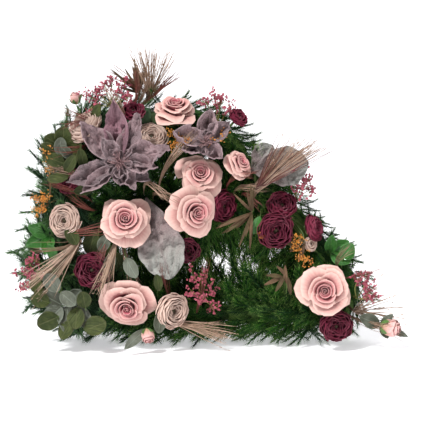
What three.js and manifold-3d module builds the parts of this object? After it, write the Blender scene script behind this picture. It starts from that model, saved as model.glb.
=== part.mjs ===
// A funeral heart tribute that stands on its long side: a heart-shaped ring bound with fir sprigs,
// with a bridge across it, and a spray of silk roses, ranunculus, magnolias, felt leaves, eucalyptus,
// dried straw, filler flowers and berries, each on its own stem in a hole of the binding.
// Millimetres. X runs along the heart from the lobes to the tip, -Y is the decorated front, +Z is up.

import * as THREE from 'three';
import { mergeVertices } from 'three/addons/utils/BufferGeometryUtils.js';
import Module from 'manifold-3d';

const wasm = await Module();
wasm.setup();
const { Manifold } = wasm;

// Driving dimensions of the heart's centre line, in its own X and Z.
const SIDE_HEIGHT = 59;
const LOW_LOBE = { x: -194, z: 158, radius: 99 };
const NOTCH_RADIUS = 40;
const HIGH_LOBE = { x: -166, z: 309, radius: 100 };
const SHOULDER = { x: -65, z: 309, radius: 100 };
const TIP_RADIUS = 38;
const SLOPE_ANGLE = THREE.MathUtils.degToRad(40.8);
const BRIDGE = [{ x: -254, z: 247 }, { x: 100, z: 262 }];

// Sizes of what is bound and stuck on to it.
const CORE_RADIUS = 15;
const BINDING_RADIUS = 31.5;
const CLEARANCE = 0.4;
const STEM_RADIUS = 2.2;
const SEAT_DEPTH = 13;
const RING_STRETCHES = 8;
const TUBE_SIDES = 8;

const Y_AXIS = new THREE.Vector3(0, 1, 0);
const vec = (x, y, z) => new THREE.Vector3(x, y, z);
const from = (list) => new THREE.Vector3(...list);
const mix = (a, b, t) => a.clone().lerp(b, t);

// A seeded random number from 0 to 1.
function randomFrom(seed) {
  let state = seed >>> 0;
  return () => {
    state = (state + 0x6d2b79f5) >>> 0;
    let t = Math.imul(state ^ (state >>> 15), 1 | state);
    t = (t + Math.imul(t ^ (t >>> 7), 61 | t)) ^ t;
    return ((t ^ (t >>> 14)) >>> 0) / 4294967296;
  };
}

// A geometry with each place stored once, and no triangle that has shrunk to a line.
function tidied(geometry) {
  const bare = geometry.clone();
  bare.deleteAttribute('normal');
  bare.deleteAttribute('uv');
  const merged = mergeVertices(bare, 2e-3);
  const corners = Array.from(merged.index.array);
  merged.setIndex(corners.filter((_, i) => {
    const [a, b, c] = corners.slice(i - (i % 3), i - (i % 3) + 3);
    return a !== b && b !== c && c !== a;
  }));
  return merged;
}

// A closed geometry as a solid that can be joined and cut.
function solidOf(geometry) {
  const merged = tidied(geometry);
  const triVerts = new Uint32Array(merged.index.array);
  const vertProperties = merged.attributes.position.array;
  const solid = new Manifold(new wasm.Mesh({ numProp: 3, vertProperties, triVerts }));
  if (solid.volume() > 0) return solid;
  for (let i = 0; i < triVerts.length; i += 3) {
    [triVerts[i + 1], triVerts[i + 2]] = [triVerts[i + 2], triVerts[i + 1]];
  }
  return new Manifold(new wasm.Mesh({ numProp: 3, vertProperties, triVerts }));
}

// Removes one sliver from a closed list of faces, and tells whether it found any. A short edge is
// drawn together, and the long edge of a flat triangle is turned to the other diagonal.
function mendOne(points, faces, shortest, flattest) {
  const touching = (...corners) => faces.filter((face) => corners.every((c) => face.includes(c)));
  return faces.some((face, f) => {
    const sides = face.map((a, k) => [a, face[(k + 1) % 3], face[(k + 2) % 3]])
      .map(([a, b, c]) => ({ a, b, c, length: points[a].distanceTo(points[b]) }))
      .sort((one, other) => one.length - other.length);
    const [{ a, b, length }, , long] = sides;
    if (length < shortest) {
      const near = (c) => new Set(touching(c).flat());
      const shared = [...near(a)].filter((c) => near(b).has(c) && c !== a && c !== b);
      if (shared.length !== 2) return false;
      const kept = faces.map((one) => one.map((c) => (c === b ? a : c)))
        .filter((one) => new Set(one).size === 3);
      faces.splice(0, faces.length, ...kept);
      return true;
    }
    const [p, q, r] = [long.a, long.b, long.c].map((c) => points[c]);
    const height = q.clone().sub(p).cross(r.clone().sub(p)).length() / long.length;
    if (height > flattest) return false;
    const across = touching(long.a, long.b).find((one) => one !== face);
    const far = across.find((c) => c !== long.a && c !== long.b);
    if (touching(long.c, far).length) return false;
    faces[f] = [long.a, far, long.c];
    faces[faces.indexOf(across)] = [far, long.b, long.c];
    return true;
  });
}

// A solid back as a geometry, with flat facets and no slivers.
function geometryOf(solid) {
  const mesh = solid.getMesh();
  const positions = new Float32Array(mesh.numVert * 3);
  positions.forEach((_, i) => {
    positions[i] = mesh.vertProperties[Math.floor(i / 3) * mesh.numProp + (i % 3)];
  });
  const rough = new THREE.BufferGeometry();
  rough.setAttribute('position', new THREE.BufferAttribute(positions, 3));
  rough.setIndex(new THREE.BufferAttribute(new Uint32Array(mesh.triVerts), 1));
  const { attributes, index } = tidied(rough);
  const points = Array.from({ length: attributes.position.count }, (_, i) =>
    new THREE.Vector3().fromBufferAttribute(attributes.position, i));
  const faces = Array.from({ length: index.count / 3 }, (_, i) =>
    [0, 1, 2].map((k) => index.getX(3 * i + k)));
  for (let turn = 0; turn < 40 && mendOne(points, faces, 0.03, 0.004); turn++);
  const geometry = tidied(geometryFrom({ points, faces }));
  geometry.computeVertexNormals();
  return geometry;
}

// A list of corner points and triangles as a closed geometry.
function geometryFrom({ points, faces }) {
  const geometry = new THREE.BufferGeometry();
  geometry.setFromPoints(points);
  geometry.setIndex(faces.flat());
  return geometry;
}

// A skin through rings of points. A ring of one point is a sharp end, and any other end is capped.
function loft(rings, closed = false) {
  const points = rings.flat();
  const starts = [];
  rings.reduce((sum, ring) => (starts.push(sum), sum + ring.length), 0);
  const faces = [];
  const bands = closed ? rings.length : rings.length - 1;
  for (let i = 0; i < bands; i++) {
    const j = (i + 1) % rings.length;
    const [a, b] = [starts[i], starts[j]];
    const sides = Math.max(rings[i].length, rings[j].length);
    for (let k = 0; k < sides; k++) {
      const next = (k + 1) % sides;
      if (rings[j].length === 1) faces.push([a + k, a + next, b]);
      else if (rings[i].length === 1) faces.push([a, b + next, b + k]);
      else faces.push([a + k, a + next, b + next], [a + k, b + next, b + k]);
    }
  }
  const sideFaces = faces.length;
  if (!closed) {
    const [first, last] = [rings[0], rings[rings.length - 1]];
    const end = starts[rings.length - 1];
    for (let k = 1; k + 1 < first.length; k++) faces.push([0, k + 1, k]);
    for (let k = 1; k + 1 < last.length; k++) faces.push([end, end + k, end + k + 1]);
  }
  return { points, faces, sideFaces };
}

// Rings of a given radius along a path. A radius of 0 is a sharp end.
function ringsAlong(path, radii, sides, twist = 0) {
  let across = null;
  return path.map((point, i) => {
    const before = path[Math.max(i - 1, 0)];
    const after = path[Math.min(i + 1, path.length - 1)];
    const along = after.clone().sub(before).normalize();
    if (!across) across = Math.abs(along.z) < 0.9 ? vec(0, 0, 1) : vec(1, 0, 0);
    across.addScaledVector(along, -across.dot(along)).normalize();
    if (radii[i] === 0) return [point.clone()];
    const up = along.clone().cross(across);
    return Array.from({ length: sides }, (_, k) => {
      const angle = (2 * Math.PI * k) / sides + twist * i;
      return point.clone()
        .addScaledVector(across, radii[i] * Math.cos(angle))
        .addScaledVector(up, radii[i] * Math.sin(angle));
    });
  });
}

const tube = (path, radii, sides) => solidOf(geometryFrom(loft(ringsAlong(path, radii, sides))));
const rod = (a, b, radius, sides = 5) => tube([a, b], [radius, radius], sides);

// Raises chosen side faces of a skin into spikes: tipOf gives a spike's tip, or nothing.
function raised({ points, faces, sideFaces }, tipOf) {
  const all = [...points];
  const out = [];
  faces.forEach((face, index) => {
    const [a, b, c] = face.map((i) => points[i]);
    const middle = a.clone().add(b).add(c).divideScalar(3);
    const normal = b.clone().sub(a).cross(c.clone().sub(a)).normalize();
    const tip = index < sideFaces ? tipOf(middle, normal, index) : null;
    if (!tip) return out.push(face);
    const top = all.push(tip) - 1;
    out.push([face[0], face[1], top], [face[1], face[2], top], [face[2], face[0], top]);
  });
  return { points: all, faces: out };
}

// The share of a blade's full width at a place along it, from 0 at both ends to 1 where it is widest.
const bladeShape = (s, widest) => Math.sin(Math.PI * s ** (Math.log(0.5) / Math.log(widest))) ** 0.7;

// A petal or leaf with sharp edges, split into triangles alike on both of its faces.
function blade({
  base, tip, facing, width, widest = 0.5, arch = 0, dish = 0, wave = 0, thick = 1.4, rows = 4, columns = 2,
}) {
  const along = tip.clone().sub(base);
  const length = along.length();
  const side = along.clone().cross(facing).normalize();
  const out = side.clone().cross(along).normalize();
  const points = [base.clone()];
  const grid = { top: [], under: [] };
  for (let i = 1; i < rows; i++) {
    const s = i / rows;
    const half = 0.5 * width * bladeShape(s, widest);
    const spine = base.clone().addScaledVector(along, s)
      .addScaledVector(out, arch * length * Math.sin(Math.PI * s));
    const line = { top: [], under: [] };
    for (let k = 0; k <= columns; k++) {
      const t = (2 * k) / columns - 1;
      const ripple = wave * Math.abs(t) * (i % 2 ? 1 : -1);
      const place = spine.clone().addScaledVector(side, half * t)
        .addScaledVector(out, dish * half * (t * t - 1) + ripple);
      line.top.push(points.push(place) - 1);
      const edge = k === 0 || k === columns;
      line.under.push(edge ? line.top[k] : points.push(place.clone().addScaledVector(out, -thick)) - 1);
    }
    grid.top.push(line.top);
    grid.under.push(line.under);
  }
  const end = points.push(tip.clone()) - 1;
  const same = (index) => Array(columns + 1).fill(index);
  const faces = [];
  [['top', 1], ['under', -1]].forEach(([name, way]) => {
    const lines = [same(0), ...grid[name], same(end)];
    for (let i = 0; i < rows; i++) {
      for (let k = 0; k < columns; k++) {
        const [a, b, c, d] = [lines[i][k], lines[i][k + 1], lines[i + 1][k + 1], lines[i + 1][k]];
        [[a, b, c], [a, c, d]].forEach((f) => {
          if (new Set(f).size === 3) faces.push(way > 0 ? f : [f[0], f[2], f[1]]);
        });
      }
    }
  });
  return solidOf(geometryFrom({ points, faces }));
}

// The centre of the notch's arc, which touches both lobes from outside.
function notchCentre() {
  const apart = { x: HIGH_LOBE.x - LOW_LOBE.x, z: HIGH_LOBE.z - LOW_LOBE.z };
  const distance = Math.hypot(apart.x, apart.z);
  const [low, high] = [LOW_LOBE.radius + NOTCH_RADIUS, HIGH_LOBE.radius + NOTCH_RADIUS];
  const along = (low ** 2 - high ** 2 + distance ** 2) / (2 * distance);
  const off = Math.sqrt(low ** 2 - along ** 2);
  return {
    x: LOW_LOBE.x + (apart.x * along - apart.z * off) / distance,
    z: LOW_LOBE.z + (apart.z * along + apart.x * off) / distance,
  };
}

// The heart's centre line as a closed list of points, clockwise from the tip's underside.
function heartLine(divisions) {
  const normal = { x: Math.cos(SLOPE_ANGLE), z: Math.sin(SLOPE_ANGLE) };
  const reach = normal.x * SHOULDER.x + normal.z * SHOULDER.z + SHOULDER.radius - TIP_RADIUS;
  const tip = { z: SIDE_HEIGHT + TIP_RADIUS };
  tip.x = (reach - normal.z * tip.z) / normal.x;
  const notch = notchCentre();
  const lowAngle = Math.atan2(LOW_LOBE.z - notch.z, LOW_LOBE.x - notch.x);
  const highAngle = Math.atan2(HIGH_LOBE.z - notch.z, HIGH_LOBE.x - notch.x);
  const line = new THREE.Path();
  line.moveTo(tip.x, SIDE_HEIGHT);
  line.lineTo(LOW_LOBE.x, SIDE_HEIGHT);
  line.absarc(LOW_LOBE.x, LOW_LOBE.z, LOW_LOBE.radius, -Math.PI / 2, lowAngle - Math.PI, true);
  line.absarc(notch.x, notch.z, NOTCH_RADIUS, lowAngle, highAngle, false);
  line.absarc(HIGH_LOBE.x, HIGH_LOBE.z, HIGH_LOBE.radius, highAngle + Math.PI, Math.PI / 2, true);
  line.absarc(SHOULDER.x, SHOULDER.z, SHOULDER.radius, Math.PI / 2, SLOPE_ANGLE, true);
  line.absarc(tip.x, tip.z, TIP_RADIUS, SLOPE_ANGLE, -Math.PI / 2, true);
  const flat = line.getPoints(divisions).filter((p, i, all) => !i || p.distanceTo(all[i - 1]) > 1);
  flat.pop();
  return flat.map((p) => vec(p.x, 0, p.y));
}

// The nearest point of a line through points.
function nearestOn(points, place) {
  return points.slice(1)
    .map((end, i) => new THREE.Line3(points[i], end).closestPointToPoint(place, true, vec(0, 0, 0)))
    .reduce((a, b) => (a.distanceTo(place) <= b.distanceTo(place) ? a : b));
}

// A line through points that can be measured along. On a closed one the distance runs round.
function courseOf(points) {
  const lengths = points.slice(1).map((p, i) => p.distanceTo(points[i]));
  const length = lengths.reduce((a, b) => a + b);
  const closed = points[0].distanceTo(points[points.length - 1]) < 1e-6;
  const at = (distance) => {
    let rest = closed ? ((distance % length) + length) % length : distance;
    let i = 0;
    while (i < lengths.length - 1 && rest > lengths[i]) rest -= lengths[i++];
    const along = points[i + 1].clone().sub(points[i]).normalize();
    return { point: points[i].clone().addScaledVector(along, rest), along };
  };
  const corners = lengths.map((_, i) => lengths.slice(0, i + 1).reduce((a, b) => a + b));
  return { points, length, corners, at };
}

const heartPoints = heartLine(2);
const RING = courseOf([...heartPoints, heartPoints[0]]);
const CROSSBAR = courseOf(BRIDGE.map(({ x, z }) => vec(x, 0, z)));

// A tube's corners at a distance along a course, in the plane that halves its bend there.
function tubeRing(course, distance, radius) {
  const before = course.at(distance - 0.5).along;
  const along = before.clone().add(course.at(distance + 0.5).along).normalize();
  const outward = vec(-along.z, 0, along.x);
  const { point } = course.at(distance);
  return Array.from({ length: TUBE_SIDES }, (_, k) => {
    const angle = (2 * Math.PI * (k + 0.5)) / TUBE_SIDES;
    return point.clone()
      .addScaledVector(outward, (radius * Math.cos(angle)) / along.dot(before))
      .addScaledVector(Y_AXIS, -radius * Math.sin(angle));
  });
}

// A tube's skin along part of a course, or all round a closed one, with rings at most a step apart.
function tubeSkin(course, radius, start = null, end = null, step = Infinity) {
  const inner = course.corners.filter((d) => start === null || (d > start + 4 && d < end - 4));
  const marks = start === null ? inner : [start, ...inner, end];
  const stations = marks.flatMap((d, i) => {
    const gap = (marks[i + 1] ?? d) - d;
    const parts = Math.max(1, Math.round(gap / step));
    return Array.from({ length: parts }, (_, k) => d + (gap * k) / parts);
  });
  return loft(stations.map((d) => tubeRing(course, d, radius)), start === null);
}

const tubeAlong = (...measures) => solidOf(geometryFrom(tubeSkin(...measures)));

// Where a stem that starts at a place ends: in the binding of the ring or of the bridge.
function seatOf(place) {
  const spot = [RING, CROSSBAR].map(({ points }) => nearestOn(points, place))
    .reduce((a, b) => (a.distanceTo(place) <= b.distanceTo(place) ? a : b));
  return spot.addScaledVector(place.clone().sub(spot).normalize(), BINDING_RADIUS - SEAT_DEPTH);
}

// A part of a piece: its solid, the room that everything placed after it is cut clear of, and the
// line and reach that sprigs of fir are bent clear of.
function part(solid, ends, reach, room = grown(solid)) {
  return { solid, room, line: new THREE.Line3(...ends), reach };
}

// The room round a line alone, for a thin shoot of a solid that is made elsewhere.
function lineRoom(a, b, radius, endRadius = radius) {
  const along = b.clone().sub(a).setLength(CLEARANCE);
  const radii = [radius, endRadius].map((r) => (r + CLEARANCE) * Math.SQRT2);
  return part(null, [a, b], radius, tube([a.clone().sub(along), b.clone().add(along)], radii, 4));
}

// A part's hull grown all round, so that what is cut by it keeps a gap.
function grown(solid) {
  const hull = solid.hull();
  const moves = [[1, 0, 0], [-1, 0, 0], [0, 1, 0], [0, -1, 0], [0, 0, 1], [0, 0, -1]];
  return Manifold.hull(moves.map((move) => hull.translate(move.map((m) => m * CLEARANCE))));
}

// A square stem between two places. Its hole is the same square with the clearance all round.
function stemPart(a, b, radius = STEM_RADIUS) {
  const { room } = lineRoom(a, b, radius / Math.SQRT2);
  return part(rod(a, b, radius, 4), [a, b], radius, room);
}

// A layered bloom as one turned skin that folds up and down into rims and valleys. Each row of its
// section is [reach, height, petals, phase, fall], in shares of the bloom's radius.
function bloomHead({ section, segments, radius, seed }) {
  const random = randomFrom(seed);
  const outline = section.map(([reach, height]) => new THREE.Vector2(reach * radius, height * radius));
  const geometry = new THREE.LatheGeometry(outline, segments);
  const at = geometry.attributes.position;
  for (let i = 0; i < segments; i++) {
    section.forEach(([, , petals, phase, fall], j) => {
      if (!petals) return;
      const index = i * section.length + j;
      const notch = (1 + Math.cos((2 * Math.PI * i * petals) / segments + phase)) / 2;
      const spread = 1 - 0.17 * notch + 0.05 * random();
      const drop = (fall * notch + 0.05 * random()) * radius;
      at.setXYZ(index, at.getX(index) * spread, at.getY(index) - drop, at.getZ(index) * spread);
      const twin = segments * section.length + j;
      if (i === 0) at.setXYZ(twin, at.getX(index), at.getY(index), at.getZ(index));
    });
  }
  return solidOf(geometry);
}

const ROSE = [
  [0, 0], [0.56, 0.24], [1.0, 0.56, 5, 0, 0.2], [0.5, 0.38],
  [0.7, 0.86, 5, 2.6, 0.14], [0.36, 0.54], [0.42, 1.0, 3, 0, 0.12], [0.14, 0.68], [0, 1.0],
];
const RANUNCULUS = [
  [0, 0], [0.86, 0.36], [1.0, 0.86, 6, 0, 0.16], [0.74, 0.64], [0.76, 1.04, 4, 1, 0.12],
  [0.52, 0.8], [0.5, 1.12, 6, 2, 0.08], [0.28, 0.9], [0.24, 1.14, 3, 0, 0.06], [0, 0.92],
];
const BUD = [
  [0, 0], [0.9, 0.6], [1.0, 1.4, 3, 0, 0.2], [0.6, 1.3], [0.6, 2.1, 3, 2, 0.2], [0, 2.3],
];

// Turns a solid made along +Y to face another way, and moves it.
function turned(solid, direction, place) {
  const turn = new THREE.Quaternion().setFromUnitVectors(Y_AXIS, direction);
  return solid.transform(new THREE.Matrix4().compose(place, turn, vec(1, 1, 1)).elements);
}

// A bloom on its stem. Its place is the middle of its face, so its foot lies one height behind.
function bloom({ at, faces, size, section, segments, height, seed }) {
  const direction = from(faces).normalize();
  const radius = size / 2;
  const foot = from(at).addScaledVector(direction, -height * radius);
  const head = turned(bloomHead({ section, segments, radius, seed }), direction, foot);
  const inside = foot.clone().addScaledVector(direction, 0.14 * radius);
  const centre = foot.clone().addScaledVector(direction, 0.5 * radius);
  const larger = 1 + 1 / radius;
  const room = head.hull().translate(centre.clone().negate().toArray()).scale(larger)
    .translate(centre.toArray());
  return [part(head, [centre, centre], radius, room), stemPart(seatOf(foot), inside)];
}

const rose = (spec) => bloom({ ...spec, section: ROSE, segments: 15, height: 0.6 });
const ranunculus = (spec) =>
  bloom({ ...spec, section: RANUNCULUS, segments: spec.size > 52 ? 10 : 8, height: 0.8 });
const bud = (spec) => bloom({ ...spec, section: BUD, segments: 6, height: 1.2 });

const bladePart = (spec) => part(blade(spec), [spec.base, spec.tip], spec.width * 0.3);

// A magnolia: pointed petals round a boss of stamens. Each petal runs from near the middle to its tip.
function magnolia({ at, faces, petals, boss }) {
  const middle = from(at);
  const out = from(faces).normalize();
  const made = petals.map(({ tip, width, arch = 0.1 }) => {
    const end = from(tip);
    const way = end.clone().sub(middle).normalize();
    const base = middle.clone().addScaledVector(way, 3);
    return bladePart({ base, tip: end, facing: out, width, widest: 0.58, arch, dish: 0.3, thick: 2 });
  });
  const round = new THREE.IcosahedronGeometry(boss, 0);
  round.deleteAttribute('normal');
  round.deleteAttribute('uv');
  const merged = mergeVertices(round, 1e-3);
  const points = Array.from({ length: merged.attributes.position.count }, (_, i) =>
    new THREE.Vector3().fromBufferAttribute(merged.attributes.position, i).add(middle));
  const faceList = Array.from({ length: merged.index.count / 3 }, (_, i) =>
    [0, 1, 2].map((k) => merged.index.array[3 * i + k]));
  const stamens = raised({ points, faces: faceList, sideFaces: faceList.length }, (centre, normal) => {
    const lift = normal.dot(out);
    return lift > 0.2 ? centre.clone().addScaledVector(normal, boss).addScaledVector(out, boss) : null;
  });
  const foot = middle.clone().addScaledVector(out, -boss * 0.4);
  const heart = part(solidOf(geometryFrom(stamens)), [middle, middle], boss * 2);
  return [...made, heart, stemPart(seatOf(foot), foot, 3)];
}

// A big soft leaf, or several of them, on one stalk.
function feltLeaf({ base, blades }) {
  const foot = from(base);
  const made = blades.map(({ tip, width, faces = [0, -1, 0.1] }) => bladePart({
    base: foot, tip: from(tip), facing: from(faces), width, widest: 0.56, arch: 0.06, dish: 0.16,
    wave: 2.5, thick: 2.4, rows: 6, columns: 4,
  }));
  const inside = mix(foot, from(blades[0].tip), 0.06);
  return [...made, stemPart(seatOf(foot), inside)];
}

// Draws shoots out of a closed skin. Each shoot has its own face, the free one that looks most its
// way, and is a row of three-cornered rings along its path, ending in a point.
function sprouted({ points, faces }, shoots) {
  const all = [...points];
  const out = [...faces];
  const looks = faces.map((face) => {
    const [a, b, c] = face.map((i) => points[i]);
    return b.clone().sub(a).cross(c.clone().sub(a)).normalize();
  });
  const taken = new Set();
  shoots.forEach(({ way, path, radii, spike = 0 }) => {
    const free = faces.map((_, i) => i).filter((i) => !taken.has(i));
    const chosen = free.reduce((a, b) => (looks[a].dot(way) > looks[b].dot(way) ? a : b));
    taken.add(chosen);
    let ring = faces[chosen];
    const corners = ring.map((i) => points[i]);
    const middle = corners[0].clone().add(corners[1]).add(corners[2]).divideScalar(3);
    const stations = [middle, ...path];
    const close = (next) => ring.forEach((corner1, k) => {
      const after = (k + 1) % 3;
      if (next.length === 1) return out.push([corner1, ring[after], next[0]]);
      return out.push([corner1, ring[after], next[after]], [corner1, next[after], next[k]]);
    });
    out[chosen] = null;
    path.forEach((place, j) => {
      const along = place.clone().sub(stations[j]).normalize();
      const next = radii[j] === 0 ? [all.push(place) - 1] : corners.map((corner) => {
        const offset = corner.clone().sub(middle);
        offset.addScaledVector(along, -offset.dot(along)).setLength(radii[j]);
        return all.push(place.clone().add(offset)) - 1;
      });
      close(next);
      ring = next;
    });
    if (spike) spikeLast(all, out, 3, spike);
  });
  return { points: all, faces: out.filter(Boolean) };
}

// Raises the last few triangles of a skin into spikes.
function spikeLast(points, faces, count, height) {
  faces.splice(-count).forEach((face) => {
    const [a, b, c] = face.map((i) => points[i]);
    const normal = b.clone().sub(a).cross(c.clone().sub(a)).normalize();
    const tip = points.push(a.clone().add(b).add(c).divideScalar(3).addScaledVector(normal, height)) - 1;
    faces.push([face[0], face[1], tip], [face[1], face[2], tip], [face[2], face[0], tip]);
  });
}

// A tied bunch of straws: a domed knot with thin tapering straws drawn out of it to a fan of tips.
function strawBunch({ root, tips, count, spread, bend = 0.05, radius = 1.2, seed }) {
  const random = randomFrom(seed);
  const foot = from(root);
  const fan = new THREE.CatmullRomCurve3(tips.map(from));
  const aim = fan.getPoint(0.5).sub(foot).normalize();
  const deep = fan.getPoint(1).sub(fan.getPoint(0)).cross(aim).normalize();
  const dome = [-9, -5, 4, 8, 9].map((d) => foot.clone().addScaledVector(aim, d));
  const skin = loft(ringsAlong(dome, [0, 5, 6, 3.6, 0], 6));
  const shoots = Array.from({ length: count }, (_, i) => {
    const layer = (i % 3) - 1;
    const tip = fan.getPoint(i / (count - 1)).addScaledVector(deep, layer * 6);
    tip.add(vec(random() - 0.5, random() - 0.5, random() - 0.5).multiplyScalar(spread));
    tip.lerp(foot, 0.2 * random());
    const half = mix(foot, tip, 0.5).addScaledVector(aim, bend * foot.distanceTo(tip))
      .addScaledVector(deep, layer * 2);
    const turn = tip.clone().sub(foot).normalize().sub(aim);
    const way = aim.clone().addScaledVector(turn, 2.5).addScaledVector(deep, layer * 0.5).normalize();
    return { way, path: [half, tip], radii: [radius, 0] };
  });
  const knot = solidOf(geometryFrom(skin));
  const bunch = part(solidOf(geometryFrom(sprouted(skin, shoots))), [foot, foot], 9, grown(knot));
  const rooms = shoots.flatMap(({ path: [half, tip] }) =>
    [lineRoom(foot, half, 4, radius), lineRoom(half, tip, radius)]);
  return [bunch, ...rooms, stemPart(seatOf(foot), foot)];
}

// A spray of filler flowers or berries: thin stalks drawn out of a knot, each with a spiky head.
function headSpray({ root, tips, head, stalk = 0.9, seed, spike = 0.7 }) {
  const random = randomFrom(seed);
  const foot = from(root);
  const heights = [-4.5, -2, 2, 4.5].map((rise) => vec(foot.x, foot.y, foot.z + rise));
  const knot = ringsAlong(heights, [0, 4.5, 4.5, 0], 5);
  const shoots = tips.map((place) => {
    const tip = from(place);
    const way = tip.clone().sub(foot).normalize();
    const size = head * (0.85 + 0.3 * random());
    const path = [-size, 0, size * 0.9].map((d) => tip.clone().addScaledVector(way, d));
    return { way, path, radii: [stalk, size * 0.7, 0], spike: size * spike };
  });
  const spray = solidOf(geometryFrom(sprouted(loft(knot), shoots)));
  const rooms = shoots.flatMap(({ path: [neck, tip, end] }) =>
    [lineRoom(foot, neck, 4, stalk), lineRoom(neck, end, tip.distanceTo(neck) * (0.65 + spike / 2))]);
  return [part(spray, [foot, foot], 5, grown(solidOf(geometryFrom(loft(knot))))), ...rooms,
    stemPart(seatOf(foot), foot, 2)];
}

// A leafy stem: a bent twig from its seat, with single leaves at their places.
function leafyStem({ stem, leaves, thick = 1.2, widest = 0.5, radius = 1.3 }) {
  const path = [seatOf(from(stem[0])), ...stem.map(from)];
  const twigs = path.slice(1).map((p, i) => stemPart(path[i], p, i ? radius : 2));
  const [before, end] = path.slice(-2);
  const spine = [...path.slice(0, -1), mix(end, before, Math.min(0.5, 2.5 / end.distanceTo(before)))];
  const made = leaves.map(({ base, tip, width, faces = [0, -1, 0.2] }) => bladePart({
    base: nearestOn(spine, from(base)), tip: from(tip), facing: from(faces),
    width, widest, arch: 0.05, dish: 0.2, thick,
  }));
  return [...twigs, ...made];
}

// Whether a place is clear of the lines of parts by their reach and a margin.
function isClear(place, parts, margin) {
  const spot = vec(0, 0, 0);
  return parts.every(({ line, reach }) =>
    line.closestPointToPoint(place, true, spot).distanceTo(place) > reach + margin);
}

// A fir sprig: a slim stalk whose faces are raised into needles that lean towards its tip. It stops
// short of the parts in its way, and has no needles where one would run into them.
function firSprig({ path, thick, needle, seed, parts, own, outside }) {
  const random = randomFrom(seed);
  const blocked = path.findIndex((place, i) => !own(place) || (i > 0 && !isClear(place, parts, 4)));
  const free = blocked < 0 ? path : path.slice(0, blocked);
  if (free.length < 4) return null;
  const last = free.length - 1;
  const radii = free.map((_, i) => (i === last ? 0 : thick * (1 - 0.5 * (i / last))));
  const skin = loft(ringsAlong(free, radii, 3, 0.35));
  return solidOf(geometryFrom(raised(skin, (middle, normal, index) => {
    if (index < 6) return null;
    const step = Math.min(Math.floor(index / 6), last - 1);
    const along = free[step + 1].clone().sub(free[step]).normalize();
    const lean = along.multiplyScalar(1.05).add(normal).normalize();
    const length = needle * (0.8 + 0.35 * random());
    const tip = middle.clone().addScaledVector(lean, length);
    const open = [0.4, 0.7, 1].every((s) => isClear(mix(middle, tip, s), parts, 2.5));
    return open && tip.z > 2 && outside(middle) && outside(tip) ? tip : null;
  })));
}

// A sprig's path over a course: it leaves the binding at an angle round it, runs along and rises.
// Angle 0 is outward, 90 the front, 180 towards the hole and 270 the back.
function overCourse({ course, start, length, angle, rise }) {
  const steps = Math.max(4, Math.round(Math.abs(length) / 12.5));
  const turn = THREE.MathUtils.degToRad(angle);
  return Array.from({ length: steps + 1 }, (_, i) => {
    const t = i / steps;
    const { point, along } = course.at(start + length * t);
    const outward = vec(-along.z, 0, along.x);
    const radius = BINDING_RADIUS - 3.5 + rise * Math.sin((t * Math.PI) / 2);
    return point.addScaledVector(outward, radius * Math.cos(turn))
      .addScaledVector(Y_AXIS, -radius * Math.sin(turn));
  });
}

// One stretch of the fir binding, split from its neighbours by planes square to its course. Its
// floor sprigs lie on the floor and are cut flat there, and the rest of it stays just above. The
// binding's own facets are raised into needles wherever nothing else is in their way.
function firStretch({ course, start, end, sprigs, floor = [], parts, seed }) {
  const far = (place, { points }) => nearestOn(points, place).distanceTo(place);
  const other = course === RING ? CROSSBAR : RING;
  const own = (place) => far(place, course) + 4 < far(place, other);
  const outside = (place) => own(place) && far(place, course) > BINDING_RADIUS + 2;
  const inTheWay = [...parts];
  const made = [...sprigs, ...floor].map(([share, angle, reach = 80, rise = 20, needle = 34], k) => {
    const onFloor = k >= sprigs.length;
    const root = start + 4 + share * (end - start - 12);
    const room = end - root - 6;
    const length = room > 40 ? Math.min(reach, room) : -reach;
    const path = overCourse({ course, start: root, length, angle, rise });
    path.forEach((place) => place.setZ(Math.max(place.z, onFloor ? 1 : 5)));
    const thick = onFloor ? 5.5 : 3.6;
    const spec = { path, thick, needle, seed: 100 * seed + k + 1 };
    const sprig = firSprig({ ...spec, parts: inTheWay, own, outside });
    const bends = path.slice(1).map((place, i) => ({ line: new THREE.Line3(path[i], place), reach: 3 }));
    if (sprig) inTheWay.push(...bends);
    return sprig;
  });
  const random = randomFrom(seed);
  const skin = tubeSkin(course, BINDING_RADIUS, start, end, 28);
  const binding = raised(skin, (middle, normal, index) => {
    if (middle.y > 14 ? index % 3 : index % 4 === 3) return null;
    const { along } = course.at(start + ((end - start) * index) / skin.sideFaces);
    const lean = along.clone().addScaledVector(normal, 0.9).normalize();
    const height = 26 + 16 * random();
    const tip = middle.clone().addScaledVector(lean, height);
    const open = [0.3, 0.6, 1].every((s) => isClear(mix(middle, tip, s), inTheWay, 3));
    const free = open && own(tip) && isClear(middle, inTheWay, 8) && tip.z > 3;
    return free && far(tip, course) > BINDING_RADIUS + 0.45 * height ? tip : null;
  });
  const kept = (list) => Manifold.union(list.filter(Boolean));
  const upper = kept([solidOf(geometryFrom(binding)), ...made.slice(0, sprigs.length)]);
  const low = kept(made.slice(sprigs.length));
  const [a, b] = [course.at(start), course.at(end)];
  return upper.trimByPlane([0, 0, 1], 1).add(low).trimByPlane([0, 0, 1], 0)
    .trimByPlane(a.along.toArray(), a.along.dot(a.point) + 0.2)
    .trimByPlane(b.along.clone().negate().toArray(), 0.2 - b.along.dot(b.point));
}

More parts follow.
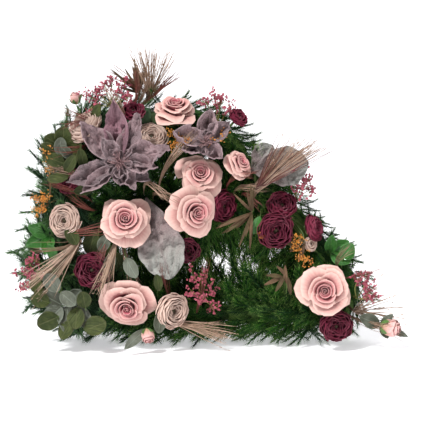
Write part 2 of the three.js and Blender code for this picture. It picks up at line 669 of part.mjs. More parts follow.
// The fir stretches in order round the ring from the tip's underside, then the one on the bridge.
// A sprig is its share of the way along, angle round the tube, reach, rise and needle length.
const FIR = {
  fir_base_right: {
    sprigs: [[0.4, 150, 84, 24]],
    floor: [[0.12, 36, 84, 47], [0.12, 324, 84, 47]],
  },
  fir_base_left: {
    seed: 20,
    sprigs: [[0.1, 150, 84, 22]],
    floor: [[0.42, 36, 84, 47], [0.42, 324, 84, 47]],
  },
  fir_low_lobe: {
    seed: 60,
    sprigs: [[0.05, 20, 80, 30, 36], [0.35, 4, 84, 38, 38], [0.62, 20, 80, 34]],
  },
  fir_notch: {
    sprigs: [[0.03, 16, 66, 34]],
  },
  fir_high_lobe: {
    sprigs: [[0.1, 0, 80, 30], [0.5, 10, 80, 30]],
  },
  fir_top: {
    sprigs: [[0.4, 5, 78, 26]],
  },
  fir_slope_high: {
    sprigs: [[0.3, 0, 80, 28], [0.45, 150, 84, 36]],
  },
  fir_slope_low: {
    seed: 80,
    sprigs: [[0.05, 10, 80, 28], [0.5, 20, 84, 34]],
  },
  fir_bridge: {
    seed: 20,
    sprigs: [[0.1, 150, 84, 44], [0.4, 165, 84, 56], [0.66, 160, 84, 56], [0.5, 350, 80, 46]],
  },
};

const ROSES = {
  rose_left: { at: [-160, -102, 243], faces: [0.05, -0.9, 0.25], size: 95 },
  rose_centre: { at: [-37, -112, 256], faces: [0.4, -0.9, 0.05], size: 92 },
  rose_centre_high: { at: [-30, -70, 318], faces: [0.1, -0.85, 0.45], size: 84 },
  rose_low_left: { at: [-157, -95, 88], faces: [-0.1, -0.85, -0.35], size: 100 },
  rose_low_right: { at: [190, -95, 115], faces: [-0.1, -0.97, 0.1], size: 102 },
  rose_top: { at: [-74, -58, 434], faces: [0, -0.45, 0.9], size: 85 },
  rose_slope: { at: [40, -78, 339], faces: [0.6, -0.6, 0.5], size: 60 },
};

const CREAM_RANUNCULUS = {
  ranunculus_cream_left: { at: [-272, -80, 237], faces: [-0.35, -0.9, 0.1], size: 62 },
  ranunculus_cream_low: { at: [-72, -95, 77], faces: [0.55, -0.8, 0], size: 65 },
  ranunculus_cream_high: { at: [-240, -58, 408], faces: [-0.55, -0.45, 0.7], size: 70 },
  ranunculus_cream_top: { at: [-115, -48, 387], faces: [0.1, -0.7, 0.6], size: 60 },
  ranunculus_cream_small: { at: [169, -48, 191], faces: [0.5, -0.8, 0.2], size: 28 },
};

const PLUM_RANUNCULUS = {
  ranunculus_plum_left: { at: [-221, -90, 150], faces: [-0.1, -0.95, 0.05], size: 64 },
  ranunculus_plum_slope: { at: [105, -85, 220], faces: [0.2, -0.95, 0.1], size: 66 },
  ranunculus_plum_slope_high: { at: [116, -62, 266], faces: [0.1, -0.8, 0.5], size: 55 },
  ranunculus_plum_low: { at: [-51, -60, 179], faces: [0.1, -0.95, -0.1], size: 45 },
  ranunculus_plum_centre: { at: [16, -60, 259], faces: [0.6, -0.75, 0], size: 58 },
  ranunculus_plum_outer: { at: [179, -50, 222], faces: [0.75, -0.4, 0.3], size: 50 },
  ranunculus_plum_floor: { at: [212, -85, 47], faces: [0.1, -0.95, -0.1], size: 60 },
  ranunculus_plum_left_high: { at: [-266, -60, 307], faces: [-0.5, -0.8, 0.2], size: 50 },
  ranunculus_plum_top_left: { at: [-148, -44, 432], faces: [0, -0.6, 0.8], size: 45 },
  ranunculus_plum_top: { at: [41, -40, 420], faces: [0.5, -0.5, 0.6], size: 38 },
};

const BUDS = {
  bud_high: { at: [-252, -10, 448], faces: [-0.1, -0.15, 1], size: 20 },
  bud_low: { at: [-122, -95, 34], faces: [0.2, -0.6, -0.75], size: 24 },
  bud_tip: { at: [308, -40, 39], faces: [0.85, -0.3, -0.2], size: 26 },
};

const MAGNOLIAS = {
  magnolia_left: {
    at: [-168, -105, 342], faces: [0, -0.9, 0.3], boss: 9,
    petals: [
      { tip: [-239, -88, 410], width: 44 }, { tip: [-182, -76, 450], width: 40 },
      { tip: [-136, -86, 426], width: 38 }, { tip: [-262, -92, 306], width: 42 },
      { tip: [-104, -98, 350], width: 34 }, { tip: [-117, -108, 312], width: 32 },
      { tip: [-168, -122, 305], width: 30 }, { tip: [-200, -118, 386], width: 30, arch: 0.16 },
    ],
  },
  magnolia_centre: {
    at: [-21, -80, 374], faces: [0.1, -0.9, 0.4], boss: 8,
    petals: [
      { tip: [-12, -70, 434], width: 36 }, { tip: [22, -78, 412], width: 34 },
      { tip: [-72, -104, 400], width: 38 }, { tip: [8, -100, 350], width: 28 },
      { tip: [-62, -104, 362], width: 28 },
    ],
  },
};

const FELT_LEAVES = {
  felt_leaf_hanging: { base: [-125, -62, 276], blades: [{ tip: [-82, -88, 136], width: 64 }] },
  felt_leaf_slope: {
    base: [61, -60, 322],
    blades: [
      { tip: [160, -70, 338], width: 74 }, { tip: [110, -45, 384], width: 48, faces: [0.1, -1, 0.2] },
    ],
  },
};

const GREY_LEAVES = {
  eucalyptus_low: {
    stem: [[-250, -50, 84], [-276, -78, 84]],
    leaves: [
      { base: [-275, -78, 86], tip: [-310, -84, 108], width: 34 },
      { base: [-275, -78, 83], tip: [-306, -90, 52], width: 34 },
      { base: [-266, -70, 83], tip: [-262, -90, 36], width: 32 },
      { base: [-258, -62, 82], tip: [-222, -92, 50], width: 32 },
      { base: [-262, -66, 86], tip: [-240, -96, 116], width: 30 },
    ],
  },
  eucalyptus_high: {
    stem: [[-262, -36, 345], [-272, -58, 366]],
    leaves: [
      { base: [-270, -54, 362], tip: [-306, -66, 348], width: 32 },
      { base: [-271, -56, 364], tip: [-302, -64, 384], width: 30 },
      { base: [-272, -57, 366], tip: [-268, -70, 402], width: 30 },
      { base: [-266, -46, 354], tip: [-238, -76, 372], width: 28 },
      { base: [-264, -42, 350], tip: [-286, -62, 326], width: 28 },
    ],
  },
};

const GREEN_LEAVES = {
  leaves_green_left: {
    stem: [[-300, -46, 206]],
    leaves: [
      { base: [-298, -44, 206], tip: [-338, -62, 190], width: 28 },
      { base: [-299, -45, 208], tip: [-334, -60, 224], width: 26 },
      { base: [-297, -43, 205], tip: [-304, -72, 176], width: 24 },
    ],
  },
  leaves_green_slope: {
    stem: [[204, -38, 172]],
    leaves: [
      { base: [202, -37, 172], tip: [234, -46, 196], width: 28 },
      { base: [203, -38, 171], tip: [238, -50, 158], width: 26 },
      { base: [201, -36, 173], tip: [204, -58, 208], width: 22 },
    ],
  },
};

const BROWN_LEAVES = {
  leaves_brown_top: {
    stem: [[-140, 6, 448], [-138, 2, 456]],
    leaves: [
      { base: [-138, 2, 455], tip: [-172, -18, 484], width: 15 },
      { base: [-138, 2, 456], tip: [-150, -16, 504], width: 13 },
      { base: [-138, 2, 456], tip: [-132, 20, 498], width: 13 },
    ],
  },
  leaves_brown_slope: {
    stem: [[66, -48, 252], [62, -66, 250]],
    leaves: [
      { base: [63, -62, 250], tip: [22, -84, 226], width: 16 },
      { base: [62, -64, 250], tip: [58, -88, 206], width: 15 },
      { base: [62, -66, 251], tip: [52, -92, 288], width: 15 },
    ],
  },
};

const STRAW = {
  straw_top: {
    root: [-116, 0, 452], tips: [[-161, -20, 538], [-115, -24, 548], [-66, -10, 530]],
    count: 12, spread: 16, seed: 3,
  },
  straw_left: {
    root: [-237, -88, 199], tips: [[-342, -92, 98], [-350, -106, 116], [-334, -100, 136]],
    count: 11, spread: 16, radius: 1.5, seed: 4,
  },
  straw_hanging: {
    root: [-175, -90, 200], tips: [[-224, -104, 120], [-209, -100, 107], [-194, -108, 114]],
    count: 9, spread: 12, radius: 1.3, seed: 5,
  },
  straw_slope: {
    root: [66, -90, 292], tips: [[118, -98, 372], [152, -104, 380], [190, -100, 360]],
    count: 11, spread: 16, seed: 6,
  },
  straw_low: {
    root: [-80, -74, 56], tips: [[30, -72, 42], [42, -84, 27], [28, -92, 16]],
    count: 10, spread: 10, seed: 7,
  },
  straw_tip: {
    root: [246, -52, 68], tips: [[300, -40, 146], [350, -46, 80], [362, -52, 10]],
    count: 11, spread: 12, seed: 8,
  },
};

const PINK_FILLER = {
  filler_high: {
    root: [-186, -20, 432], seed: 11, head: 6,
    tips: [[-212, -22, 462], [-198, -28, 474], [-184, -20, 482], [-172, -30, 466], [-160, -24, 478]],
  },
  filler_top: {
    root: [2, -26, 398], seed: 12, head: 6,
    tips: [[-22, -44, 444], [-6, -50, 456], [9, -42, 450], [22, -48, 438]],
  },
  filler_slope: {
    root: [142, -24, 262], seed: 13, head: 6.5,
    tips: [[138, -56, 318], [152, -60, 324], [163, -56, 308], [168, -58, 290], [152, -68, 296]],
  },
  filler_low: {
    root: [-28, -36, 92], seed: 14, head: 6.5,
    tips: [
      [-42, -84, 148], [-26, -90, 162], [-12, -80, 148],
      [-20, -96, 128], [-46, -84, 122], [-6, -86, 116],
    ],
  },
  filler_left: {
    root: [-300, -52, 132], seed: 15, head: 7,
    tips: [[-356, -74, 152], [-342, -70, 168], [-352, -66, 128], [-332, -84, 150], [-326, -70, 178]],
  },
  filler_tip: {
    root: [250, -48, 92], seed: 16, head: 6,
    tips: [[250, -70, 130], [260, -78, 120], [270, -74, 110], [282, -62, 100], [262, -60, 136]],
  },
};

const BERRIES = {
  berries_left: {
    root: [-298, -34, 262], seed: 21, head: 5, spike: 0.35,
    tips: [[-324, -60, 262], [-316, -66, 252], [-310, -60, 274], [-326, -50, 276], [-304, -62, 286]],
  },
  berries_top: {
    root: [-62, -44, 366], seed: 22, head: 5, spike: 0.35,
    tips: [[-66, -84, 386], [-52, -88, 378], [-78, -84, 374], [-84, -80, 392]],
  },
  berries_slope: {
    root: [150, -36, 184], seed: 23, head: 5, spike: 0.35,
    tips: [[144, -70, 172], [156, -76, 166], [138, -66, 188], [146, -76, 206], [134, -72, 200]],
  },
};

// Makes every piece of a table with one maker and one finish, numbering the seeds.
function group(table, make, finish) {
  return Object.entries(table).map(([name, spec], i) =>
    ({ name, finish, parts: make({ seed: i + 1, ...spec }) }));
}

const FINISHES = {
  core_green: { color: 0x3f4a30, roughness: 0.9 },
  fir_green: { color: 0x2f4a2c, roughness: 0.7 },
  rose_pink: { color: 0xd9a9a0, roughness: 0.75 },
  petal_cream: { color: 0xe6d3c0, roughness: 0.75 },
  petal_plum: { color: 0x5a2234, roughness: 0.7 },
  bud_pink: { color: 0xc98a86, roughness: 0.75 },
  felt_mauve: { color: 0x8f7480, roughness: 0.95 },
  felt_grey: { color: 0x7f7f78, roughness: 0.95 },
  leaf_grey: { color: 0x7c8a6c, roughness: 0.7 },
  leaf_green: { color: 0x4f8a3c, roughness: 0.6 },
  leaf_brown: { color: 0x6b5a36, roughness: 0.8 },
  straw_gold: { color: 0xb99a5e, roughness: 0.85 },
  filler_pink: { color: 0xc77f86, roughness: 0.8 },
  berry_yellow: { color: 0xd9a13a, roughness: 0.5 },
};

// Listed from what is placed first to what gives way to it.
const DECORATION = [
  ...group(ROSES, rose, 'rose_pink'),
  ...group(CREAM_RANUNCULUS, ranunculus, 'petal_cream'),
  ...group(PLUM_RANUNCULUS, ranunculus, 'petal_plum'),
  ...group(BUDS, bud, 'bud_pink'),
  ...group(MAGNOLIAS, magnolia, 'felt_mauve'),
  ...group(FELT_LEAVES, feltLeaf, 'felt_grey'),
  ...group(GREEN_LEAVES, leafyStem, 'leaf_green'),
  ...group(GREY_LEAVES, (spec) => leafyStem({ ...spec, widest: 0.6 }), 'leaf_grey'),
  ...group(BROWN_LEAVES, (spec) => leafyStem({ ...spec, widest: 0.4 }), 'leaf_brown'),
  ...group(BERRIES, headSpray, 'berry_yellow'),
  ...group(PINK_FILLER, headSpray, 'filler_pink'),
  ...group(STRAW, strawBunch, 'straw_gold'),
];

function boxesMeet(a, b) {
  return [0, 1, 2].every((k) => a.min[k] < b.max[k] && b.min[k] < a.max[k]);
}

// What is left of a solid once everything already placed has been cleared: its largest piece.
function clearedOf(solid, placed) {
  const box = solid.boundingBox();
  const near = placed.filter((other) => boxesMeet(box, other.boundingBox()));
  if (!near.length) return solid;
  const bodies = solid.subtract(Manifold.union(near)).decompose();
  return bodies.reduce((a, b) => (a.volume() > b.volume() ? a : b)).simplify(0.01);
}

function buildPieces() {
  const made = [];
  const room = CORE_RADIUS + CLEARANCE;
  const rooms = [tubeAlong(RING, room), tubeAlong(CROSSBAR, room, 0, CROSSBAR.length)];
  const pieces = DECORATION.map(({ name, finish, parts }) => {
    const whole = Manifold.union(parts.flatMap(({ solid }) => solid ?? []));
    const solid = clearedOf(whole, rooms).trimByPlane([0, 0, 1], 1);
    made.push(...parts);
    rooms.push(...parts.map(({ room }) => room));
    return { name, finish, solid };
  });
  const core = tubeAlong(RING, CORE_RADIUS).add(tubeAlong(CROSSBAR, CORE_RADIUS, 0, CROSSBAR.length));
  pieces.push({ name: 'heart_core', finish: 'core_green', solid: core });
  Object.entries(FIR).forEach(([name, spec], i) => {
    const share = RING.length / RING_STRETCHES;
    const onRing = i < RING_STRETCHES;
    const place = onRing ? { course: RING, start: i * share, end: (i + 1) * share }
      : { course: CROSSBAR, start: BINDING_RADIUS, end: CROSSBAR.length - BINDING_RADIUS };
    const stretch = firStretch({ seed: i + 1, ...spec, ...place, parts: made });
    const gaps = onRing ? rooms : [tubeAlong(RING, BINDING_RADIUS + CLEARANCE), ...rooms];
    pieces.push({ name, finish: 'fir_green', solid: clearedOf(stretch, gaps) });
  });
  return pieces;
}

function makeTribute() {
  const heart = new THREE.Group();
  heart.name = 'funeral_heart';
  buildPieces().forEach(({ name, finish, solid }) => {
    const geometry = geometryOf(solid);
    geometry.computeBoundingBox();
    const middle = geometry.boundingBox.getCenter(vec(0, 0, 0)).round();
    geometry.translate(-middle.x, -middle.y, -middle.z);
    const material = new THREE.MeshStandardMaterial({ name: finish, metalness: 0, ...FINISHES[finish] });
    const mesh = new THREE.Mesh(geometry, material);
    mesh.name = name;
    mesh.position.copy(middle);
    heart.add(mesh);
  });
  const centre = new THREE.Box3().setFromObject(heart).getCenter(vec(0, 0, 0));
  heart.position.set(-centre.x, -centre.y, 0);
  const tribute = new THREE.Group();
  tribute.name = 'root';
  tribute.add(heart);
  return tribute;
}

export default makeTribute();
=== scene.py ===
"""A standing funeral heart of fir with roses, ranunculus, felt magnolias, leaves, straw and berries."""
import math
import random

import bmesh
import bpy
from bpy.props import FloatProperty, FloatVectorProperty, IntProperty, PointerProperty
from mathutils import Matrix, Vector, noise


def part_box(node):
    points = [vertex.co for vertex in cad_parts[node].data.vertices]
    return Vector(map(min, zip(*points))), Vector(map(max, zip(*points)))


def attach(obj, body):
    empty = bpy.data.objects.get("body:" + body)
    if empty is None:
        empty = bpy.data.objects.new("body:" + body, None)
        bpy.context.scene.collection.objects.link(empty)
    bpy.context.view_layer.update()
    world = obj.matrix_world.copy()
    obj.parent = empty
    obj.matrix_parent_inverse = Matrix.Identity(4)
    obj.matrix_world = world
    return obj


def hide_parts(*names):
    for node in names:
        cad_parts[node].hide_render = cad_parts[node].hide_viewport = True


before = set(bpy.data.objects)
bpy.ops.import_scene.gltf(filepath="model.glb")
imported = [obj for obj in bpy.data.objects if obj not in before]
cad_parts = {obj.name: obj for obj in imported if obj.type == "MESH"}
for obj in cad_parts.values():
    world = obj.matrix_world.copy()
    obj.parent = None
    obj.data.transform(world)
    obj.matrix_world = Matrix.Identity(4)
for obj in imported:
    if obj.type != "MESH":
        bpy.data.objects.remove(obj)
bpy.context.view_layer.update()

bl_info = {
    "name": "Funeral heart",
    "version": (1, 0, 0),
    "blender": (4, 5, 0),
    "location": "3D View > Sidebar > Funeral heart",
    "description": "A standing heart of fir with roses, ranunculus, felt magnolias, straw and berries",
    "category": "Object",
}

# The foam core's box in the frame, and how far the heart's own middle is from the core's left end,
# both in metres.
CORE_LOW, CORE_HIGH = (Vector(corner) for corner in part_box("heart_core"))
MIDDLE_FROM_LEFT = 0.3056775
MIDDLE = Vector((CORE_LOW.x + MIDDLE_FROM_LEFT, (CORE_LOW.y + CORE_HIGH.y) / 2, 0))
# All places and sizes below are in millimetres, with X and Y from that middle and Z from the floor.
TO_FRAME = Matrix.Translation(MIDDLE) @ Matrix.Scale(0.001, 4)

# The heart's line: one straight side on the floor, two lobes at the left, the tip at the right.
SIDE_HEIGHT = 59
LOW_LOBE = (-194, 158, 99)
HIGH_LOBE = (-166, 309, 100)
SHOULDER = (-65, 309, 100)
NOTCH_RADIUS = 40
TIP_RADIUS = 38
SLOPE = math.radians(40.8)
BRIDGE = ((-254, 247), (100, 262))
# The radius of the fir's binding round that line, the step between the line's points, how far from
# it a stem ends, and how high the lowest point of any piece stands.
BINDING = 30
LINE_STEP = 4
SEAT_DEPTH = 16
CLEAR_OF_FLOOR = 0.3

# The photo's camera: how far away it stands, how far it looks down, and the X and Z that it looks at.
# The photo's middle is at the same pixel across and down, and a pixel there is PIXEL millimetres.
CAMERA_AWAY = 3200
CAMERA_RISE = math.radians(8)
CAMERA_TARGET = (-3.6, 236)
PHOTO_MIDDLE = 215
PIXEL = 1.8

# Each bloom: its middle, the way it faces and how wide it is.
ROSES = {
    "rose_left": ((-160, -102, 243), (0.05, -0.9, 0.25), 95),
    "rose_centre": ((-37, -112, 256), (0.4, -0.9, 0.05), 92),
    "rose_centre_high": ((-30, -70, 318), (0.1, -0.85, 0.45), 84),
    "rose_low_left": ((-157, -95, 88), (-0.1, -0.85, -0.35), 100),
    "rose_low_right": ((190, -95, 115), (-0.1, -0.97, 0.1), 102),
    "rose_top": ((-74, -58, 434), (0, -0.45, 0.9), 85),
    "rose_slope": ((40, -78, 339), (0.6, -0.6, 0.5), 60),
}
CREAM_RANUNCULUS = {
    "ranunculus_cream_left": ((-272, -80, 237), (-0.35, -0.9, 0.1), 62),
    "ranunculus_cream_low": ((-72, -95, 77), (0.55, -0.8, 0), 65),
    "ranunculus_cream_high": ((-240, -58, 408), (-0.55, -0.45, 0.7), 70),
    "ranunculus_cream_top": ((-115, -48, 387), (0.1, -0.7, 0.6), 60),
    "ranunculus_cream_small": ((169, -48, 191), (0.5, -0.8, 0.2), 28),
}
PLUM_RANUNCULUS = {
    "ranunculus_plum_left": ((-221, -90, 150), (-0.1, -0.95, 0.05), 64),
    "ranunculus_plum_slope": ((105, -85, 220), (0.2, -0.95, 0.1), 66),
    "ranunculus_plum_slope_high": ((116, -62, 266), (0.1, -0.8, 0.5), 55),
    "ranunculus_plum_low": ((-51, -60, 179), (0.1, -0.95, -0.1), 45),
    "ranunculus_plum_centre": ((16, -60, 259), (0.6, -0.75, 0), 58),
    "ranunculus_plum_outer": ((179, -50, 222), (0.75, -0.4, 0.3), 50),
    "ranunculus_plum_floor": ((212, -85, 47), (0.1, -0.95, -0.1), 60),
    "ranunculus_plum_left_high": ((-266, -60, 307), (-0.5, -0.8, 0.2), 50),
    "ranunculus_plum_top_left": ((-148, -44, 432), (0, -0.6, 0.8), 45),
    "ranunculus_plum_top": ((41, -40, 420), (0.5, -0.5, 0.6), 38),
}
BUDS = {
    "bud_high": ((-252, -10, 448), (-0.1, -0.15, 1), 20),
    "bud_low": ((-122, -95, 34), (0.2, -0.6, -0.75), 24),
    "bud_tip": ((310, -58, 41), (0.85, -0.35, -0.1), 33),
}

# Ranks of rose petals from the middle out, in shares of the bloom's radius:
# count, half angle, rim radius, rim height, how late the petal opens, how far its rim rolls back.
ROSE_RANKS = (
    (1, 4.4, 0.06, 0.90, 0.26, 0.00), (2, 2.0, 0.15, 0.94, 0.30, 0.01),
    (3, 1.40, 0.25, 0.96, 0.36, 0.03), (3, 1.28, 0.37, 0.94, 0.42, 0.09),
    (3, 1.22, 0.54, 0.88, 0.46, 0.26), (3, 1.26, 0.74, 0.70, 0.56, 0.38),
    (4, 1.05, 0.86, 0.42, 0.78, 0.40),
)
# Ranks of ranunculus petals: count, half angle, widest radius, rim height, share still open.
RANUNCULUS_RANKS = (
    (4, 1.20, 0.20, 0.74, 0.80), (5, 1.00, 0.31, 0.82, 0.84), (6, 0.90, 0.42, 0.88, 0.88),
    (6, 0.85, 0.53, 0.91, 0.90), (7, 0.80, 0.65, 0.90, 0.94), (7, 0.76, 0.77, 0.84, 0.98),
    (8, 0.70, 0.89, 0.72, 1.05), (8, 0.68, 1.00, 0.54, 1.20),
)

# A ranunculus narrower than this has two ranks fewer.
SMALL_RANUNCULUS, LARGE_ONLY = 50, (1, 4)
# Ranks of a bud's petals: count, half angle, widest radius, rim height.
BUD_RANKS = ((2, 2.2, 0.42, 2.25), (3, 1.5, 0.68, 2.1), (4, 1.15, 0.92, 1.8))
# Leaves at a bud's foot: each tip's offset from it, the width and the finish, 1 green, 2 grey.
BUD_LEAVES = {
    "bud_tip": (((20.8, -13, 23.4), 15, 2), ((13, -10.4, -20.8), 14, 2), ((-39, -18.2, 20.8), 26, 2),
                ((49.4, -5.2, -18.2), 13, 2)),
    "bud_high": (((-8, -8, 18), 6, 1), ((6, -10, 14), 6, 1), ((12, -4, 20), 6, 1)),
}

# Felt magnolias: middle, facing, boss, and each petal's tip, width and arch.
MAGNOLIAS = {
    "magnolia_left": ((-168, -105, 342), (0, -0.9, 0.3), 9, (
        ((-239, -88, 410), 44, 0.10), ((-182, -76, 450), 40, 0.10), ((-136, -86, 426), 38, 0.10),
        ((-262, -92, 306), 42, 0.10), ((-84, -100, 372), 44, 0.12), ((-117, -108, 312), 32, 0.10),
        ((-168, -122, 305), 30, 0.10), ((-200, -118, 386), 30, 0.16),
        ((-238, -98, 288), 28, 0.12), ((-102, -112, 338), 34, 0.16), ((-140, -118, 298), 28, 0.12))),
    "magnolia_centre": ((-21, -80, 374), (0.1, -0.9, 0.4), 8, (
        ((-12, -70, 434), 36, 0.10), ((22, -78, 412), 34, 0.10), ((-72, -104, 400), 38, 0.10),
        ((8, -100, 350), 28, 0.10), ((-62, -104, 362), 28, 0.10))),
}
PINK_PETALS = ((-182, -76, 450),)
# Felt leaves: the foot, then each blade's tip, width and facing.
FELT_LEAVES = {
    "felt_leaf_hanging": ((-125, -62, 276), (((-82, -88, 136), 78.08, (0, -1, 0.1)),)),
    "felt_leaf_slope": ((61, -60, 322), (
        ((160, -70, 338), 66.6, (0, -1, 0.1)), ((98, -45, 368), 43.2, (0.1, -1, 0.2)))),
}
# Leaf sprays: the twig's bends, then each leaf's base, tip and width.
GREY_LEAVES = {
    "eucalyptus_low": (((-250, -50, 84), (-276, -78, 84)), (
        ((-275, -78, 86), (-310, -84, 108), 34), ((-275, -78, 83), (-306, -90, 52), 34),
        ((-266, -70, 83), (-262, -90, 36), 32), ((-258, -62, 82), (-222, -92, 50), 32),
        ((-262, -66, 86), (-240, -96, 116), 30))),
    "eucalyptus_high": (((-262, -36, 345), (-272, -58, 366)), (
        ((-270, -54, 362), (-306, -66, 348), 32), ((-271, -56, 364), (-302, -64, 384), 30),
        ((-272, -57, 366), (-268, -70, 402), 30), ((-266, -46, 354), (-238, -76, 372), 28),
        ((-264, -42, 350), (-286, -62, 326), 28))),
}
# Further leaves as the photo shows them: the middle as pixels across and down and its Y, then the
# angle from the right, length, width, and 1 for the olive leaves.
PHOTO_LEAVES = {
    "eucalyptus_low": (
        ((48, 321, -92), 200, 38, 34, 1), ((76, 318, -96), 265, 36, 32, 1),
        ((95, 326, -102), 20, 40, 36, 1), ((84, 300, -98), 100, 30, 26, 1),
        ((40, 300, -86), 160, 34, 28, 1), ((52, 283, -94), 130, 38, 28, 0),
        ((68, 299, -98), 320, 34, 26, 0), ((131, 268, -92), 300, 38, 24, 0),
        ((104, 243, -92), 60, 34, 22, 0), ((110, 262, -90), 250, 32, 20, 0),
        ((158, 283, -88), 280, 30, 16, 1), ((160, 322, -96), 260, 40, 22, 0),
        ((36, 286, -80), 110, 30, 22, 1), ((66, 330, -88), 240, 34, 26, 1)),
    "eucalyptus_high": (
        ((55, 160, -72), 160, 34, 24, 1), ((70, 164, -78), 60, 36, 20, 1),
        ((48, 148, -66), 150, 28, 20, 1), ((82, 158, -80), 100, 34, 18, 1),
        ((88, 168, -82), 20, 34, 16, 1), ((58, 178, -74), 190, 38, 18, 1),
        ((96, 112, -56), 70, 30, 16, 1), ((84, 190, -84), 10, 36, 18, 1),
        ((60, 146, -70), 80, 30, 22, 0), ((72, 236, -84), 300, 36, 24, 1),
        ((66, 152, -74), 130, 30, 18, 0)),
}
# Further leaves with their middle in millimetres, and the rest as above.
MORE_LEAVES = {
    "eucalyptus_low": (
        ((-222, -58, 194), 75, 44, 30, 1), ((-196, -50, 174), 40, 38, 26, 1),
        ((-174, -56, 160), 110, 36, 24, 1)),
    "leaves_brown_slope": (
        ((104, -58, 134), 170, 34, 7, 1), ((100, -60, 126), 200, 34, 7, 0),
        ((112, -62, 122), 240, 32, 7, 1), ((122, -60, 138), 95, 34, 7, 0),
        ((128, -64, 118), 280, 34, 7, 1), ((116, -58, 142), 130, 30, 6, 0),
        ((142, -62, 190), 220, 34, 7, 1), ((150, -62, 178), 250, 34, 7, 0),
        ((134, -60, 196), 180, 30, 6, 1)),
    "leaves_green_left": (
        ((-290, -84, 182), 300, 30, 18, 0),),
    "leaves_green_slope": (
        ((232, -52, 178), 60, 34, 28, 0), ((70, -72, 228), 250, 34, 16, 0)),
}
GREEN_LEAVES = {
    "leaves_green_left": (((-300, -46, 206),), (
        ((-298, -44, 206), (-338, -62, 190), 28), ((-299, -45, 208), (-334, -60, 224), 26),
        ((-297, -43, 205), (-304, -72, 176), 24))),
    "leaves_green_slope": (((204, -38, 172),), (
        ((202, -37, 172), (234, -46, 196), 28), ((203, -38, 171), (238, -50, 158), 26),
        ((201, -36, 173), (204, -58, 208), 22))),
}
BROWN_LEAVES = {
    "leaves_brown_top": (((-140, 6, 448), (-138, 2, 456)), (
        ((-138, 2, 455), (-172, -18, 484), 4.5), ((-138, 2, 456), (-150, -16, 504), 3.9),
        ((-138, 2, 456), (-132, 20, 498), 3.9))),
    "leaves_brown_slope": (((66, -48, 252), (62, -66, 250)), (
        ((63, -62, 250), (22, -84, 226), 4.8), ((62, -64, 250), (58, -88, 206), 4.5),
        ((62, -66, 251), (52, -92, 288), 4.5))),
}
# Straw bunches: root, the tips that the bunch fans out to, and the spread at each tip.
STRAW = {
    "straw_top": ((-116, 0, 452), ((-161, -20, 538), (-115, -24, 548), (-66, -10, 530)), 16),
    "straw_left": ((-237, -88, 199), ((-318, -94, 84), (-352, -104, 108), (-340, -100, 146)), 18),
    "straw_hanging": ((-175, -90, 200), ((-224, -104, 120), (-209, -100, 107), (-194, -108, 114)), 12),
    "straw_slope": ((66, -90, 292), ((114, -98, 388), (158, -104, 394), (198, -100, 372)), 16),
    "straw_low": ((-80, -74, 56), ((30, -72, 42), (42, -84, 27), (28, -92, 16)), 10),
    "straw_tip": ((246, -52, 68), ((300, -40, 146), (350, -46, 80), (362, -52, 10)), 12),
}
# Further stalks that fan out from the root of a tall bunch: where each group of them ends.
FANS = {
    "straw_top": ((-206, -26, 500), (-192, -20, 506), (-60, -24, 490), (-74, -20, 500)),
    "straw_slope": ((108, -98, 370), (132, -102, 392), (176, -104, 388), (206, -100, 374)),
}
# Further thin stalks as the photo shows them: start and end as pixels across and down and their Y,
# then the count and the finish, 0 pale, 1 brown, 2 rust.
PHOTO_STALKS = {
    "straw_hanging": (
        ((150, 186, -92), (180, 203, -106), 14, 1), ((112, 232, -90), (98, 262, -104), 10, 2),
        ((120, 250, -86), (136, 292, -100), 8, 1), ((140, 170, -96), (168, 198, -108), 12, 0),
        ((62, 236, -88), (112, 226, -100), 12, 2)),
    "straw_slope": (
        ((156, 172, -84), (196, 132, -100), 18, 0), ((232, 182, -78), (268, 190, -92), 14, 1),
        ((224, 176, -80), (258, 172, -96), 10, 2), ((250, 176, -86), (322, 144, -96), 16, 0),
        ((240, 186, -80), (262, 206, -92), 8, 2)),
    "straw_top": (
        ((96, 122, -70), (60, 108, -62), 10, 2), ((128, 118, -70), (106, 88, -56), 12, 0),
        ((140, 100, -30), (134, 66, -24), 12, 2), ((150, 100, -30), (172, 74, -24), 12, 2),
        ((146, 100, -24), (152, 46, -16), 12, 1), ((84, 118, -68), (62, 128, -66), 12, 2)),
    "straw_left": (
        ((88, 178, -84), (44, 164, -74), 14, 0), ((92, 196, -84), (46, 182, -76), 12, 2),
        ((84, 250, -90), (30, 250, -96), 10, 1), ((92, 150, -84), (52, 150, -74), 10, 2),
        ((96, 214, -92), (70, 196, -96), 10, 2)),
    "straw_low": (
        ((196, 318, -76), (206, 256, -92), 10, 2), ((170, 300, -80), (160, 262, -90), 10, 2),
        ((176, 330, -80), (222, 324, -86), 8, 1)),
    "straw_tip": (
        ((330, 262, -64), (352, 244, -72), 8, 1), ((352, 322, -60), (404, 332, -66), 12, 1),
        ((344, 280, -76), (380, 268, -74), 8, 2)),
}
# Pink filler and yellow berries: root, then where each twig ends.
PINK_FILLER = {
    "filler_high": ((-186, -20, 432), (
        (-212, -22, 462), (-198, -28, 474), (-184, -20, 482), (-172, -30, 466), (-160, -24, 478),
        (-149, -50, 452), (-230, -34, 450), (-222, -48, 436))),
    "filler_top": ((2, -26, 398), ((-22, -44, 444), (-6, -50, 456), (9, -42, 450), (22, -48, 438))),
    "filler_slope": ((142, -24, 262), (
        (138, -56, 318), (152, -60, 324), (163, -56, 308), (168, -58, 290), (152, -68, 296))),
    "filler_low": ((-28, -36, 92), (
        (-44, -84, 146), (-28, -90, 142), (-12, -86, 122), (-22, -96, 104), (-46, -88, 112),
        (-2, -88, 84))),
    "filler_left": ((-300, -52, 132), (
        (-346, -74, 142), (-334, -70, 156), (-344, -66, 118), (-326, -84, 136), (-322, -70, 166))),
    "filler_tip": ((250, -48, 92), (
        (250, -70, 130), (260, -78, 120), (270, -74, 110), (282, -62, 100), (262, -60, 136))),
}
